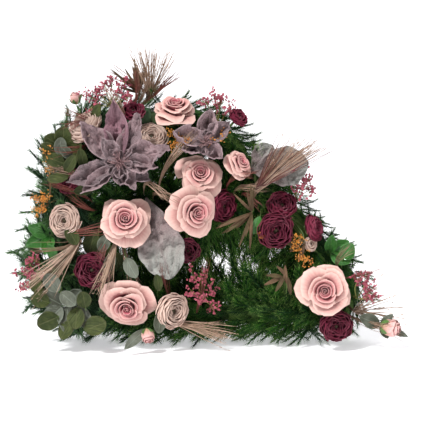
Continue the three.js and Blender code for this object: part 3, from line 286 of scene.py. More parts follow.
BERRIES = {
    "berries_left": ((-298, -34, 262), (
        (-318, -66, 262), (-312, -72, 252), (-306, -66, 272), (-318, -60, 274), (-302, -68, 282),
        (-302, -72, 358), (-292, -74, 366))),
    "berries_top": ((-62, -44, 366), (
        (-66, -84, 386), (-52, -88, 378), (-78, -84, 374), (-84, -80, 392), (6, -84, 378),
        (14, -80, 386))),
    "berries_slope": ((150, -36, 184), (
        (144, -70, 172), (156, -76, 166), (138, -66, 188), (146, -76, 206), (134, -72, 200),
        (64, -80, 216), (74, -78, 210))),
}
# The heart's line is shared out evenly to these, from under the tip round to the slope.
FIR_STRETCHES = ("fir_base_right", "fir_base_left", "fir_low_lobe", "fir_notch", "fir_high_lobe",
                 "fir_top", "fir_slope_high", "fir_slope_low")
# The gap that is seen through the heart, along Y: its X, its Z and its radius.
GAP = (16, 148, 13)
# How many extra sprays hang into the openings from each stretch.
DROPS = {
    "fir_bridge": 190, "fir_slope_high": 50, "fir_slope_low": 80, "fir_base_right": 70,
    "fir_base_left": 84, "fir_low_lobe": 78, "fir_top": 26, "fir_high_lobe": 14, "fir_notch": 4,
}
# The lobes' fir is bluer, and its rows at the left have more sprays, bound further out.
BLUE_FIR = ("fir_low_lobe", "fir_notch", "fir_high_lobe")
LEFT_OF, OUT_AT_LEFT = -215, 9
ROW, ROW_AT_LEFT = 10, 13
# The slope's, the top's and the right end's sprays are shorter by these shares.
SLOPE_FIR, SLOPE_SHARE, OUT_ON_SLOPE = ("fir_slope_high", "fir_slope_low"), 0.60, 3
TOP_FIR, TOP_SHARE, RIGHT_OF = ("fir_top", "fir_high_lobe"), 0.62, 180
# A spray whose tip would be lower than this is lifted, and these shares of it are kept clear.
LOWEST_TIP = 6
SPRAY_MARKS = (0.35, 0.7, 1.0, 1.2)
LEAF_THICKNESS = 0.8

# What each vertex carries for the finishes: how far along its blade or stalk and how far across it
# stands, a tone of its own, and how far out in the bloom or along the spray.
LAYERS = ("reach", "side", "tone", "depth")


# Curves

def arc(middle, radius, start, end):
    count = max(2, int(abs(end - start) * radius / LINE_STEP))
    angles = [start + (end - start) * i / count for i in range(count + 1)]
    return [Vector((middle[0] + radius * math.cos(a), 0, middle[1] + radius * math.sin(a))) for a in angles]


def straight(start, end):
    start, end = Vector((start[0], 0, start[1])), Vector((end[0], 0, end[1]))
    count = max(2, int((end - start).length / LINE_STEP))
    return [start.lerp(end, i / count) for i in range(count + 1)]


def notch_middle():
    apart = Vector((HIGH_LOBE[0] - LOW_LOBE[0], HIGH_LOBE[1] - LOW_LOBE[1]))
    low, high = LOW_LOBE[2] + NOTCH_RADIUS, HIGH_LOBE[2] + NOTCH_RADIUS
    along = (low ** 2 - high ** 2 + apart.length ** 2) / (2 * apart.length)
    off = math.sqrt(low ** 2 - along ** 2)
    ahead = apart.normalized()
    return LOW_LOBE[0] + ahead.x * along - ahead.y * off, LOW_LOBE[1] + ahead.y * along + ahead.x * off


def heart_line():
    """The heart's closed line, clockwise as seen from the front, from under the tip."""
    across, up = math.cos(SLOPE), math.sin(SLOPE)
    reach = across * SHOULDER[0] + up * SHOULDER[1] + SHOULDER[2] - TIP_RADIUS
    tip_z = SIDE_HEIGHT + TIP_RADIUS
    tip = ((reach - up * tip_z) / across, tip_z)
    notch = notch_middle()
    low = math.atan2(LOW_LOBE[1] - notch[1], LOW_LOBE[0] - notch[0])
    high = math.atan2(HIGH_LOBE[1] - notch[1], HIGH_LOBE[0] - notch[0])
    low, high = low % math.tau, high % math.tau
    line = straight((tip[0], SIDE_HEIGHT), (LOW_LOBE[0], SIDE_HEIGHT))
    into_notch = low + math.pi - (math.tau if low > math.pi / 2 else 0)
    line += arc(LOW_LOBE[:2], LOW_LOBE[2], 1.5 * math.pi, into_notch)
    line += arc(notch, NOTCH_RADIUS, low, high + (math.tau if high < low else 0))
    line += arc(HIGH_LOBE[:2], HIGH_LOBE[2], (high + math.pi) % math.tau, math.pi / 2)
    line += arc(SHOULDER[:2], SHOULDER[2], math.pi / 2, SLOPE)
    line += arc(tip, TIP_RADIUS, SLOPE, -math.pi / 2)
    return line


class Course:
    """A line with a place and a heading at each distance along it."""

    def __init__(self, points):
        self.points = [points[0]]
        for point in points[1:]:
            if (point - self.points[-1]).length > 0.5:
                self.points.append(point)
        self.marks = [0.0]
        for a, b in zip(self.points, self.points[1:]):
            self.marks.append(self.marks[-1] + (b - a).length)
        self.length = self.marks[-1]

    def at(self, distance):
        distance = min(max(distance, 0), self.length - 0.01)
        i = max(k for k in range(len(self.marks) - 1) if self.marks[k] <= distance)
        a, b = self.points[i], self.points[i + 1]
        share = (distance - self.marks[i]) / (self.marks[i + 1] - self.marks[i])
        return a.lerp(b, share), (b - a).normalized()


RING = Course(heart_line() + heart_line()[:1])
CROSSBAR = Course(straight(*BRIDGE))
SPINE = RING.points + CROSSBAR.points


def seat_of(place):
    """Where a stem from this place ends inside the fir."""
    near = min(SPINE, key=lambda point: (point - place).length)
    return near + (place - near).normalized() * SEAT_DEPTH


def numbered(table, first=0):
    """Each piece of a table with its spec and the number that seeds its random values."""
    return [(node, spec, number) for number, (node, spec) in enumerate(table.items(), first)]


def spoke(angle):
    """A unit step out from the Z axis at an angle."""
    return Vector((math.cos(angle), math.sin(angle), 0))


def scatter(rng, spread):
    """A random offset, most often within the spread each way."""
    return Vector([rng.gauss(0, spread) for _ in range(3)])


def turned(across, ahead):
    """The turn that brings X across and Z ahead."""
    return Matrix((across, ahead.cross(across), ahead)).transposed().to_4x4()


def looking(at, faces, turn=0.0):
    """The pose of something that stands at a place and faces a way."""
    ahead = Vector(faces).normalized()
    across = Vector((0, 0, 1)).cross(ahead)
    across = across.normalized() if across.length > 0.05 else Vector((1, 0, 0))
    return Matrix.Translation(Vector(at)) @ turned(across, ahead) @ Matrix.Rotation(turn, 4, "Z")


def bent(*places):
    """A smooth path that starts at the first place, ends at the last and leans to those between."""
    places = [Vector(place) for place in places]

    def at(share):
        line = places
        while len(line) > 1:
            line = [a.lerp(b, share) for a, b in zip(line, line[1:])]
        return line[0]
    return at


def from_photo(across, down, y):
    """The place of what the photo shows at a pixel, when its Y is known."""
    low, high = math.sin(CAMERA_RISE), math.cos(CAMERA_RISE)
    z = CAMERA_TARGET[1]
    for _ in range(4):
        away = CAMERA_AWAY + y * high - (z - CAMERA_TARGET[1]) * low
        scale = PIXEL * away / CAMERA_AWAY
        z = CAMERA_TARGET[1] + ((PHOTO_MIDDLE - down) * scale - y * low) / high
    return round((across - PHOTO_MIDDLE) * scale + CAMERA_TARGET[0]), y, round(z)


# Shaping

def fresh():
    """An empty shape with the layers that the finishes read."""
    bm = bmesh.new()
    for name in LAYERS:
        bm.verts.layers.float.new(name)
    return bm


def sheet(bm, cells, shape, tone=0.5, depth=0.5, finish=0):
    """A thin blade from a grid: shape gives the place at each share across, -1 to 1, and along, 0 to 1."""
    verts = bmesh.ops.create_grid(bm, x_segments=cells[0], y_segments=cells[1], size=1.0)["verts"]
    reach, side, toned, deep = (bm.verts.layers.float[name] for name in LAYERS)
    for vert in verts:
        across, along = vert.co.x, (vert.co.y + 1) / 2
        vert[reach], vert[side], vert[toned], vert[deep] = along, across, tone, depth
        vert.co = shape(across, along)
    for face in {face for vert in verts for face in vert.link_faces}:
        face.material_index = finish
        face.smooth = True
    return verts


def thicken(bm, thickness):
    """Gives every open sheet made so far its thickness."""
    bmesh.ops.solidify(bm, geom=bm.faces[:], thickness=thickness)


def stalk(bm, path, width, sides=5, rows=8, tone=0.5, depth=0.5, finish=0):
    """A round stalk along a path, from a grid that is wrapped round it and closed at both ends."""
    start, end = path(0.0), path(1.0)
    run = (end - start).normalized()
    least = min(range(3), key=lambda i: abs(run[i]))
    spare = Vector([float(i == least) for i in range(3)])

    def shape(across, along):
        ahead = path(min(along + 0.02, 1.0)) - path(max(along - 0.02, 0.0))
        left = ahead.cross(spare).normalized()
        up = left.cross(ahead).normalized()
        inner = width(along) if 1e-4 <= along <= 1 - 1e-4 else 0.0
        angle = -math.pi * across
        return path(along) + (left * math.cos(angle) + up * math.sin(angle)) * inner
    verts = sheet(bm, (sides, rows), shape, tone, depth, finish)
    bmesh.ops.remove_doubles(bm, verts=verts, dist=0.02)


def bead(bm, pose, radius, subdivisions=1, tone=0.5, finish=0):
    """A small round solid, such as an eye, a stamen's end or a grain of straw."""
    verts = bmesh.ops.create_icosphere(bm, subdivisions=subdivisions, radius=radius, matrix=pose)["verts"]
    reach, _, toned, deep = (bm.verts.layers.float[name] for name in LAYERS)
    for vert in verts:
        vert[reach], vert[toned], vert[deep] = 0.5, tone, 0.5
    for face in {face for vert in verts for face in vert.link_faces}:
        face.material_index = finish
        face.smooth = True


def stamp(bm, mesh, pose, tone):
    """Adds a copy of a small shape that is used many times."""
    copy = mesh.copy()
    copy.transform(pose)
    copy.attributes["tone"].data.foreach_set("value", [tone] * len(copy.vertices))
    bm.from_mesh(copy)
    bpy.data.meshes.remove(copy)


def as_mesh(bm, name):
    """The shape as a mesh, which ends the shape."""
    mesh = bpy.data.meshes.new(name)
    bm.to_mesh(mesh)
    bm.free()
    return mesh


def settle(bm, node, slot, finishes, crease=60):
    """Makes a finished shape a piece of the heart, in place of its plain solid."""
    for vert in bm.verts:
        vert.co.z = max(vert.co.z, CLEAR_OF_FLOOR)
    bmesh.ops.transform(bm, matrix=TO_FRAME, verts=bm.verts)
    mesh = as_mesh(bm, node + "_look")
    mesh.set_sharp_from_angle(angle=math.radians(crease))
    for finish in finishes:
        mesh.materials.append(finish)
    made = bpy.data.objects.new(node + "_look", mesh)
    bpy.context.scene.collection.objects.link(made)
    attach(made, "root")
    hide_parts(node)


def blade(base, tip, width, faces=(0, -1, 0.1), arch=0.1, dish=0.3, crease=0.0, wave=0.0, waves=4,
          widest=0.5, full=0.7, curl=0.0, scallop=0.0, crinkle=0.0, phase=0.0, twist=0.0):
    """The shape of a petal or leaf from its base to its tip.

    Dish, crease, wave, scallop and crinkle are shares of its width, arch and curl of its length.
    """
    base, tip = Vector(base), Vector(tip)
    along = tip - base
    length = along.length
    ahead = along / length
    left = ahead.cross(Vector(faces)).normalized()
    up = left.cross(ahead)
    power = math.log(0.5) / math.log(widest)

    def shape(across, share):
        part = min(max(share, 0.004), 0.996)
        half = 0.5 * width * max(0.04, math.sin(math.pi * part ** power) ** full)
        half *= 1 + scallop * abs(math.sin(math.pi * waves * 1.5 * share + phase))
        rise = arch * length * math.sin(math.pi * share) + curl * length * max(0, share - 0.5) ** 2 * 4
        cup = dish * half * (across * across - 1)
        cup += crease * width * (abs(across) - 1) * math.sin(math.pi * part)
        ripple = wave * width * abs(across) ** 1.5 * math.sin(math.tau * waves * share + phase + across)
        turn = twist * (share - 0.3)
        flat = left * math.cos(turn) + up * math.sin(turn)
        raised = up * math.cos(turn) - left * math.sin(turn)
        place = base + ahead * (length * share) + flat * (half * across)
        place += up * rise + raised * (cup + ripple)
        if crinkle:
            rough = noise.noise(place * 0.06) + 0.6 * noise.noise(place * 0.16 + up)
            rough -= 0.5 * abs(noise.noise(place * 0.11 + left))
            place += raised * crinkle * width * rough * min(1.0, share * 3)
        return place
    return shape


# Finishes

def paint(color):
    return (*color, 1.0)


def put(tree, kind, inputs=None, **settings):
    """Adds a node, sets what it is and links or sets its inputs."""
    node = tree.nodes.new(kind)
    for name, value in settings.items():
        setattr(node, name, value)
    for name, value in (inputs or {}).items():
        if isinstance(value, bpy.types.NodeSocket):
            tree.links.new(value, node.inputs[name])
        else:
            node.inputs[name].default_value = value
    return node


def reckon(tree, operation, first, second=0.0, clamp=False):
    node = put(tree, "ShaderNodeMath", {0: first, 1: second}, operation=operation, use_clamp=clamp)
    return node.outputs[0]


def times(tree, first, second):
    return reckon(tree, "MULTIPLY", first, second)


def plus(tree, first, second):
    return reckon(tree, "ADD", first, second)


def between(tree, value, low, high, to_low=0.0, to_high=1.0):
    inputs = {"Value": value, "From Min": low, "From Max": high, "To Min": to_low, "To Max": to_high}
    return put(tree, "ShaderNodeMapRange", inputs, interpolation_type="SMOOTHSTEP").outputs[0]


def blend(tree, share, first, second):
    """The first colour where the share is 0, and the second where it is 1."""
    inputs = {0: share, 6: first, 7: second}
    for place in (6, 7):
        if not isinstance(inputs[place], bpy.types.NodeSocket):
            inputs[place] = paint(inputs[place])
    return put(tree, "ShaderNodeMix", inputs, data_type="RGBA").outputs[2]


def tint(tree, share, under, color, amount):
    """Lays a colour over another by a share of what a pattern says."""
    return blend(tree, times(tree, share, amount), under, color)


def mark(tree, name):
    """What a layer of the shape says at each point."""
    return put(tree, "ShaderNodeAttribute", attribute_name=name).outputs["Fac"]


def grain(tree, vector, scale, detail=3.0, rough=0.55):
    inputs = {"Vector": vector, "Scale": scale, "Detail": detail, "Roughness": rough}
    return put(tree, "ShaderNodeTexNoise", inputs).outputs[0]


def new_group(name, inputs, outputs):
    """A shared group without nodes of its own yet, with its inputs and outputs."""
    tree = bpy.data.node_groups.new(name, "ShaderNodeTree")
    for title, kind, value in inputs:
        tree.interface.new_socket(title, in_out="INPUT", socket_type=kind).default_value = value
    for title, kind in outputs:
        tree.interface.new_socket(title, in_out="OUTPUT", socket_type=kind)
    return tree, tree.nodes.new("NodeGroupInput"), tree.nodes.new("NodeGroupOutput")


def mottle_group():
    """Two colours that run into each other in soft patches, and from piece to piece: dyes, and in the felt
    and the fir also painted shade and painted light.
    """
    if "dye_and_shade_mottle" in bpy.data.node_groups:
        return bpy.data.node_groups["dye_and_shade_mottle"]
    inputs = (("Light", "NodeSocketColor", (0.8, 0.8, 0.8, 1)),
              ("Dark", "NodeSocketColor", (0.3, 0.3, 0.3, 1)),
              ("Scale", "NodeSocketFloat", 40.0), ("Spread", "NodeSocketFloat", 0.5))
    outputs = (("Color", "NodeSocketColor"), ("Mask", "NodeSocketFloat"))
    tree, given, out = new_group("dye_and_shade_mottle", inputs, outputs)
    place = put(tree, "ShaderNodeTexCoord").outputs["Object"]
    patch = between(tree, grain(tree, place, given.outputs["Scale"]), 0.3, 0.7)
    spread = given.outputs["Spread"]
    patched = times(tree, patch, reckon(tree, "SUBTRACT", 1.0, spread))
    share = reckon(tree, "ADD", patched, times(tree, mark(tree, "tone"), spread), clamp=True)
    color = blend(tree, share, given.outputs["Dark"], given.outputs["Light"])
    tree.links.new(color, out.inputs["Color"])
    tree.links.new(share, out.inputs["Mask"])
    return tree


def vein_group():
    """Fine veins that fan out along a petal or leaf, with its midrib and its rim."""
    if "petal_veins" in bpy.data.node_groups:
        return bpy.data.node_groups["petal_veins"]
    inputs = (("Fineness", "NodeSocketFloat", 16.0), ("Slant", "NodeSocketFloat", 0.0))
    outputs = (("Veins", "NodeSocketFloat"), ("Midrib", "NodeSocketFloat"), ("Rim", "NodeSocketFloat"),
               ("Height", "NodeSocketFloat"))
    tree, given, out = new_group("petal_veins", inputs, outputs)
    reach, side, tone = mark(tree, "reach"), mark(tree, "side"), mark(tree, "tone")
    away = reckon(tree, "ABSOLUTE", side)
    slanted = reckon(tree, "SUBTRACT", side, times(tree, given.outputs["Slant"], reach))
    fan = times(tree, slanted, given.outputs["Fineness"])
    along, apart = times(tree, reach, 2.5), times(tree, tone, 9.0)
    vector = put(tree, "ShaderNodeCombineXYZ", {0: fan, 1: along, 2: apart}).outputs[0]
    veins = between(tree, grain(tree, vector, 1.0, 2.0), 0.35, 0.65)
    midrib = between(tree, away, 0.1, 0.0)
    rim = reckon(tree, "MAXIMUM", between(tree, reach, 0.82, 1.0), between(tree, away, 0.8, 1.0))
    height = reckon(tree, "SUBTRACT", veins, midrib)
    for name, value in (("Veins", veins), ("Midrib", midrib), ("Rim", rim), ("Height", height)):
        tree.links.new(value, out.inputs[name])
    return tree


def nap_group():
    """The fine nap or fibre of a woven or felted cloth."""
    if "cloth_nap" in bpy.data.node_groups:
        return bpy.data.node_groups["cloth_nap"]
    inputs = (("Scale", "NodeSocketFloat", 900.0),)
    outputs = (("Nap", "NodeSocketFloat"), ("Specks", "NodeSocketFloat"))
    tree, given, out = new_group("cloth_nap", inputs, outputs)
    place, scale = put(tree, "ShaderNodeTexCoord").outputs["Object"], given.outputs["Scale"]
    nap = grain(tree, place, scale, 2.0, 0.7)
    cells = put(tree, "ShaderNodeTexVoronoi", {"Vector": place, "Scale": scale})
    specks = between(tree, cells.outputs["Distance"], 0.1, 0.5)
    tree.links.new(nap, out.inputs["Nap"])
    tree.links.new(specks, out.inputs["Specks"])
    return tree


def use(tree, group, **values):
    """Adds a shared group with its inputs, and gives its outputs."""
    node = tree.nodes.new("ShaderNodeGroup")
    node.node_tree = group
    for name, value in values.items():
        node.inputs[name].default_value = value
    return node.outputs


def dress(name, color, height, roughness, bump=0.3, depth=0.0006, sheen=0.0, sheen_tint=None,
          specular=0.35, coat=0.0):
    """A material from a colour that varies, a height that varies and constants on the shader itself."""
    material = bpy.data.materials.new(name)
    material.use_nodes = True
    tree = material.node_tree
    tree.nodes.clear()
    shader = tree.nodes.new("ShaderNodeBsdfPrincipled")
    out = tree.nodes.new("ShaderNodeOutputMaterial")
    tree.links.new(shader.outputs[0], out.inputs[0])
    tree.links.new(color(tree), shader.inputs["Base Color"])
    shader.inputs["Roughness"].default_value = roughness
    shader.inputs["Specular IOR Level"].default_value = specular
    shader.inputs["Sheen Weight"].default_value = sheen
    if sheen_tint:
        shader.inputs["Sheen Tint"].default_value = paint(sheen_tint)
    shader.inputs["Coat Weight"].default_value = coat
    if height:
        lift = put(tree, "ShaderNodeBump", {"Strength": bump, "Distance": depth, "Height": height(tree)})
        tree.links.new(lift.outputs[0], shader.inputs["Normal"])
    return material


def shade(color, amount):
    """The colour made darker, or lighter by an amount over 1."""
    return tuple(min(1.0, part * amount) for part in color)


def mottled(tree, light, dark, scale, spread):
    """The shared mottle between two colours: dyes, or painted light and painted shade."""
    return use(tree, mottle_group(), Light=paint(light), Dark=paint(dark), Scale=scale, Spread=spread)


def petal_finish(name, outer, inner, rim, base, sheen=0.25, rough=0.62, fold=0.35):
    """Silk petals, veined: towards the bloom's middle a deeper dye that is partly painted shade, painted
    shade at each petal's foot, and a rim that is partly paler dye and partly a painted highlight.
    """
    def color(tree):
        veins = use(tree, vein_group(), Fineness=13.0)
        patch = mottled(tree, outer, shade(outer, 0.84), 30.0, 0.45)
        # Towards the bloom's middle the colour turns to inner: partly the heart's deeper dye, partly
        # painted shade deep in the bloom.
        deep = between(tree, mark(tree, "depth"), 0.05, 0.9)
        main = blend(tree, deep, inner, patch["Color"])
        # Painted shade: each petal turns to the base colour towards its foot, where it sits among the other
        # petals.
        foot_shaded = blend(tree, between(tree, mark(tree, "reach"), 0.99, fold), main, base)
        veined = tint(tree, veins["Veins"], foot_shaded, shade(inner, 0.8), 0.2)
        # The rim colour is partly a paler dye and partly a painted highlight on the rolled rims.
        return tint(tree, veins["Rim"], veined, rim, 0.4)

    def height(tree):
        veins = use(tree, vein_group(), Fineness=20.0)
        nap = use(tree, nap_group(), Scale=1100.0)
        return plus(tree, times(tree, veins["Veins"], 0.6), times(tree, nap["Nap"], 0.4))
    return dress(name, color, height, rough, 0.35, 0.0005, sheen, rim)


def felt_finish(name, main, far, rim, split=(0.9, 1.3)):
    """Felted petals with a powdery nap; the colour turns to far between two shares of the blade. The near
    part mottles into a very dark copy of itself as painted shade of the folds, the midrib carries painted
    shade of its crease, and each petal's foot darkens as painted shade.
    """
    def color(tree):
        veins = use(tree, vein_group(), Fineness=7.0, Slant=1.2)
        # Painted shade: the near colour mottles into a very dark copy of itself, standing in for the shade
        # of the folds, and varies with each piece's tone.
        near = mottled(tree, main, shade(main, 0.12), 34.0, 0.55)
        away = mottled(tree, far, shade(far, 0.62), 30.0, 0.2)
        share = between(tree, mark(tree, "reach"), *split)
        both = blend(tree, share, near["Color"], away["Color"])
        # Painted shade along the midrib's crease.
        crease_shaded = tint(tree, veins["Midrib"], both, shade(main, 0.4), 0.5)
        veined = tint(tree, veins["Veins"], crease_shaded, shade(main, 0.5), 0.3)
        # Painted shade at each petal's foot, towards the middle of the bloom.
        foot = between(tree, mark(tree, "reach"), 0.4, 0.0, 0.0, 0.6)
        foot_shaded = blend(tree, foot, veined, shade(main, 0.18))
        dusted = tint(tree, use(tree, nap_group(), Scale=420.0)["Specks"], foot_shaded, rim, 0.22)
        return tint(tree, veins["Rim"], dusted, rim, 0.07)

    def height(tree):
        veins = use(tree, vein_group(), Fineness=9.0, Slant=1.2)
        nap = use(tree, nap_group(), Scale=160.0)
        return plus(tree, times(tree, veins["Height"], 0.4), times(tree, nap["Nap"], 1.2))
    return dress(name, color, height, 0.85, 0.9, 0.003, 0.35, rim, specular=0.2)


def leaf_finish(name, main, dark, rim, rough=0.6, coat=0.0, bloom=0.0):
    """Leaves with a midrib, slanting veins and a waxy bloom in patches."""
    def color(tree):
        veins = use(tree, vein_group(), Fineness=8.0, Slant=1.6)
        patch = mottled(tree, main, dark, 55.0, 0.5)
        veined = tint(tree, veins["Veins"], patch["Color"], shade(dark, 0.75), 0.6)
        ribbed = tint(tree, veins["Midrib"], veined, shade(rim, 0.9), 0.35)
        waxed = tint(tree, patch["Mask"], ribbed, (0.6, 0.66, 0.6), bloom)
        return tint(tree, veins["Rim"], waxed, rim, 0.2)

    def height(tree):
        veins = use(tree, vein_group(), Fineness=8.0, Slant=1.6)
        nap = use(tree, nap_group(), Scale=500.0)
        return plus(tree, veins["Height"], times(tree, nap["Nap"], 0.25))
    return dress(name, color, height, rough, 0.6, 0.0012, coat=coat, specular=0.25)


def stem_finish(name, light, dark, rough=0.6):
    """Twigs, straw and wires, with a fibre along them and a tone for each."""
    def color(tree):
        patch = mottled(tree, light, dark, 120.0, 0.65)
        # Darker towards each stalk's foot.
        past_foot = between(tree, mark(tree, "reach"), 0.0, 0.35)
        return blend(tree, past_foot, shade(dark, 0.8), patch["Color"])

    def height(tree):
        round_it, along = times(tree, mark(tree, "side"), 6.0), times(tree, mark(tree, "reach"), 5.0)
        vector = put(tree, "ShaderNodeCombineXYZ", {0: round_it, 1: along, 2: mark(tree, "tone")})
        return grain(tree, vector.outputs[0], 3.0)
    return dress(name, color, height, rough, 0.4, 0.0004)


def fir_finish(name, light, main, dark):
    """Fir needles: darker at each needle's foot as painted shade deep in the spray, lighter towards the
    tips, partly the paler young growth and partly a painted highlight, and each spray with its own tone
    between a lightened and a darkened copy of the green, partly random and partly painted light and shade.
    """
    def color(tree):
        # Each spray's own tone runs between a lightened and a darkened copy of the green: partly random
        # tone, partly painted light and shade on whole sprays.
        patch = mottled(tree, shade(main, 1.5), shade(dark, 0.6), 24.0, 1.0)
        # Lighter towards each needle's tip and the spray's young end: partly the young growth's paler
        # green, partly a painted highlight.
        tipped = between(tree, mark(tree, "reach"), 0.55, 1.0)
        toward_spray_end = between(tree, mark(tree, "depth"), 0.45, 1.0)
        share = times(tree, tipped, plus(tree, 0.35, times(tree, toward_spray_end, 0.65)))
        # Painted shade: each needle darkens towards its foot, deep in the spray by the twig.
        foot = between(tree, mark(tree, "reach"), 0.4, 0.0)
        return blend(tree, share, blend(tree, foot, patch["Color"], shade(dark, 0.5)), light)

    def height(tree):
        return use(tree, nap_group(), Scale=800.0)["Nap"]
    return dress(name, color, height, 0.55, 0.25, 0.0003, specular=0.12)


def bead_finish(name, light, dark, rough, coat=0.0):
    """Little buds and berries, each with its own tone and a fine pitted skin."""
    def color(tree):
        patch = mottled(tree, light, dark, 160.0, 0.7)
        return tint(tree, height(tree), patch["Color"], shade(dark, 0.7), 0.25)

    def height(tree):
        return use(tree, nap_group(), Scale=1500.0)["Specks"]
    return dress(name, color, height, rough, 0.3, 0.0004, coat=coat)


def foam_finish(name, light, dark):
    """Wet-dust floral foam with open pores."""
    def color(tree):
        patch = mottled(tree, light, dark, 25.0, 0.0)
        return tint(tree, height(tree), patch["Color"], shade(dark, 0.6), 0.4)

    def height(tree):
        return use(tree, nap_group(), Scale=650.0)["Specks"]
    return dress(name, color, height, 0.95, 0.6, 0.001, specular=0.1)


def floor_finish(name, light, dark):
    """A pale seamless floor that glows a little, as a lit backdrop does."""
    made = dress(name, lambda tree: mottled(tree, light, dark, 1.5, 0.0)["Color"], None, 0.8, specular=0.1)
    shader = made.node_tree.nodes["Principled BSDF"]
    shader.inputs["Emission Color"].default_value = (0.97, 0.96, 1.0, 1)
    shader.inputs["Emission Strength"].default_value = 0.5
    return made


def look(name, make, *values, **settings):
    """A finish by name, made once."""
    return bpy.data.materials.get(name) or make(name, *values, **settings)


# Sizes and colours

def length(name, text, default, low, high):
    """A length in millimetres, because the tables are in millimetres."""
    text += ", in millimetres"
    return FloatProperty(name=name, description=text, default=default, min=low, max=high)


def dye(name, text, default):
    return FloatVectorProperty(name=name, description=text, default=default, min=0, max=1, size=3,
                               subtype="COLOR")


class HeartSizes(bpy.types.PropertyGroup):
    needle: length("Needle length", "Length of a fir needle", 28.0, 8.0, 40.0)
    needle_width: length("Needle width", "Width of a fir needle at its foot", 1.75, 0.4, 2.5)
    spray: length("Fir spray length", "Length of a fir spray", 62.0, 30.0, 100.0)
    spray_gap: length("Fir spray gap", "Distance between rows of fir sprays", 12.5, 8.0, 60.0)
    petal: length("Petal thickness", "Thickness of a silk petal", 0.7, 0.3, 2.0)
    felt: length("Felt thickness", "Thickness of a felt petal", 1.4, 0.5, 3.0)
    straws: IntProperty(name="Straws", description="Stalks in a bunch of straw", default=62, min=5, max=200)
    florets: IntProperty(name="Florets", description="Buds on a twig of filler", default=44, min=5, max=80)
    lens: FloatProperty(name="Lens", description="Focal length of the camera", default=148.8, unit="CAMERA")


class HeartColours(bpy.types.PropertyGroup):
    fir: dye("Fir", "Fir needles", (0.020, 0.082, 0.007))
    # The tips' colour is partly the paler young growth and partly a painted highlight.
    fir_light: dye("Fir tips", "Tips of the fir needles", (0.44, 0.68, 0.17))
    fir_blue: dye("Blue fir", "Fir needles of the left lobes", (0.060, 0.130, 0.038))
    rose: dye("Rose", "Outer rose petals", (0.68, 0.415, 0.355))
    rose_heart: dye("Rose heart", "Inner rose petals", (0.46, 0.09, 0.13))
    cream: dye("Cream ranunculus", "Cream petals", (0.74, 0.53, 0.44))
    plum: dye("Plum ranunculus", "Plum petals", (0.165, 0.014, 0.038))
    mauve: dye("Mauve felt", "Magnolia petals", (0.36, 0.215, 0.225))
    felt_green: dye("Grey-green felt", "Far part of the felt leaves", (0.34, 0.35, 0.32))
    eucalyptus: dye("Eucalyptus", "Grey-green leaves", (0.085, 0.092, 0.055))
    leaf: dye("Green leaf", "Bright green leaves", (0.06, 0.235, 0.04))
    brown: dye("Brown leaf", "Slender brown leaves", (0.21, 0.125, 0.07))
    straw: dye("Straw", "Straw stalks", (0.46, 0.31, 0.22))
    filler: dye("Filler", "Pink filler buds", (0.44, 0.095, 0.135))
    berry: dye("Berry", "Yellow-orange berries", (0.66, 0.31, 0.04))


def sizes():
    return bpy.context.scene.heart_sizes


def colours():
    return bpy.context.scene.heart_colours


def green_stem():
    return look("green_stem", stem_finish, (0.16, 0.24, 0.06), (0.05, 0.09, 0.025))


def eucalyptus_leaf():
    color = colours().eucalyptus
    return look("eucalyptus_leaf", leaf_finish, color, shade(color, 0.55), (0.30, 0.36, 0.27), bloom=0.16)


# Blooms

def petal(bm, scaled, rank, angle, depth, rng, tuck):
    """One rose petal: cupped from the foot, open at the rim, with its rim rolled back to a soft point."""
    _, half, rim, high, late, roll = rank
    lift, turn, phase = rng.uniform(-0.05, 0.05), rng.uniform(-0.12, 0.12), rng.uniform(0, math.tau)
    roll *= rng.uniform(0.6, 1.45)
    size = rng.uniform(0.88, 1.08)
    point = 0.06 + 0.36 * roll * rng.uniform(0.4, 1.6)

    def shape(across, along):
        share = along * (1 - 0.12 * abs(across) ** 2.6 - point * abs(across) ** 1.3)
        curl = max(0.0, (share - 0.60) / 0.40)
        out = 0.01 + rim * size * share ** late * (1 + tuck * across)
        up = (high + lift) * (1 - (1 - share) ** 2.1)
        out += roll * curl ** 1.6 * (0.45 + 0.9 * across * across)
        up -= roll * 1.15 * curl ** 2.2 * (0.30 + 1.5 * across * across)
        up += (0.012 + 0.20 * roll) * math.sin(4 * across + phase) * share ** 3
        out += 0.12 * roll * math.cos(6 * across + phase) * share ** 3
        spread = half * across * (0.55 + 0.45 * math.sin(math.pi * min(share, 0.62) / 1.24))
        return scaled @ (spoke(angle + turn + spread) * out + Vector((0, 0, up)))
    sheet(bm, (8, 8), shape, rng.random(), depth)


def rose(bm, at, faces, width, rng):
    """The petals of a rose, rank by rank from its heart."""
    radius = width / 2
    ahead = Vector(faces).normalized()
    foot = Vector(at) - ahead * 0.6 * radius
    pose = looking(foot, ahead, rng.uniform(0, math.tau))
    scaled = pose @ Matrix.Scale(radius * 0.95, 4)
    turn = 0.0
    for number, rank in enumerate(ROSE_RANKS):
        count, depth = rank[0], number / (len(ROSE_RANKS) - 1)
        for k in range(count):
            angle = turn + math.tau * (k + rng.uniform(-0.16, 0.16)) / count
            petal(bm, scaled, rank, angle, depth, rng, 0.13 if number else 0.9)
        turn += 1.1 + math.pi / count
    return foot, pose


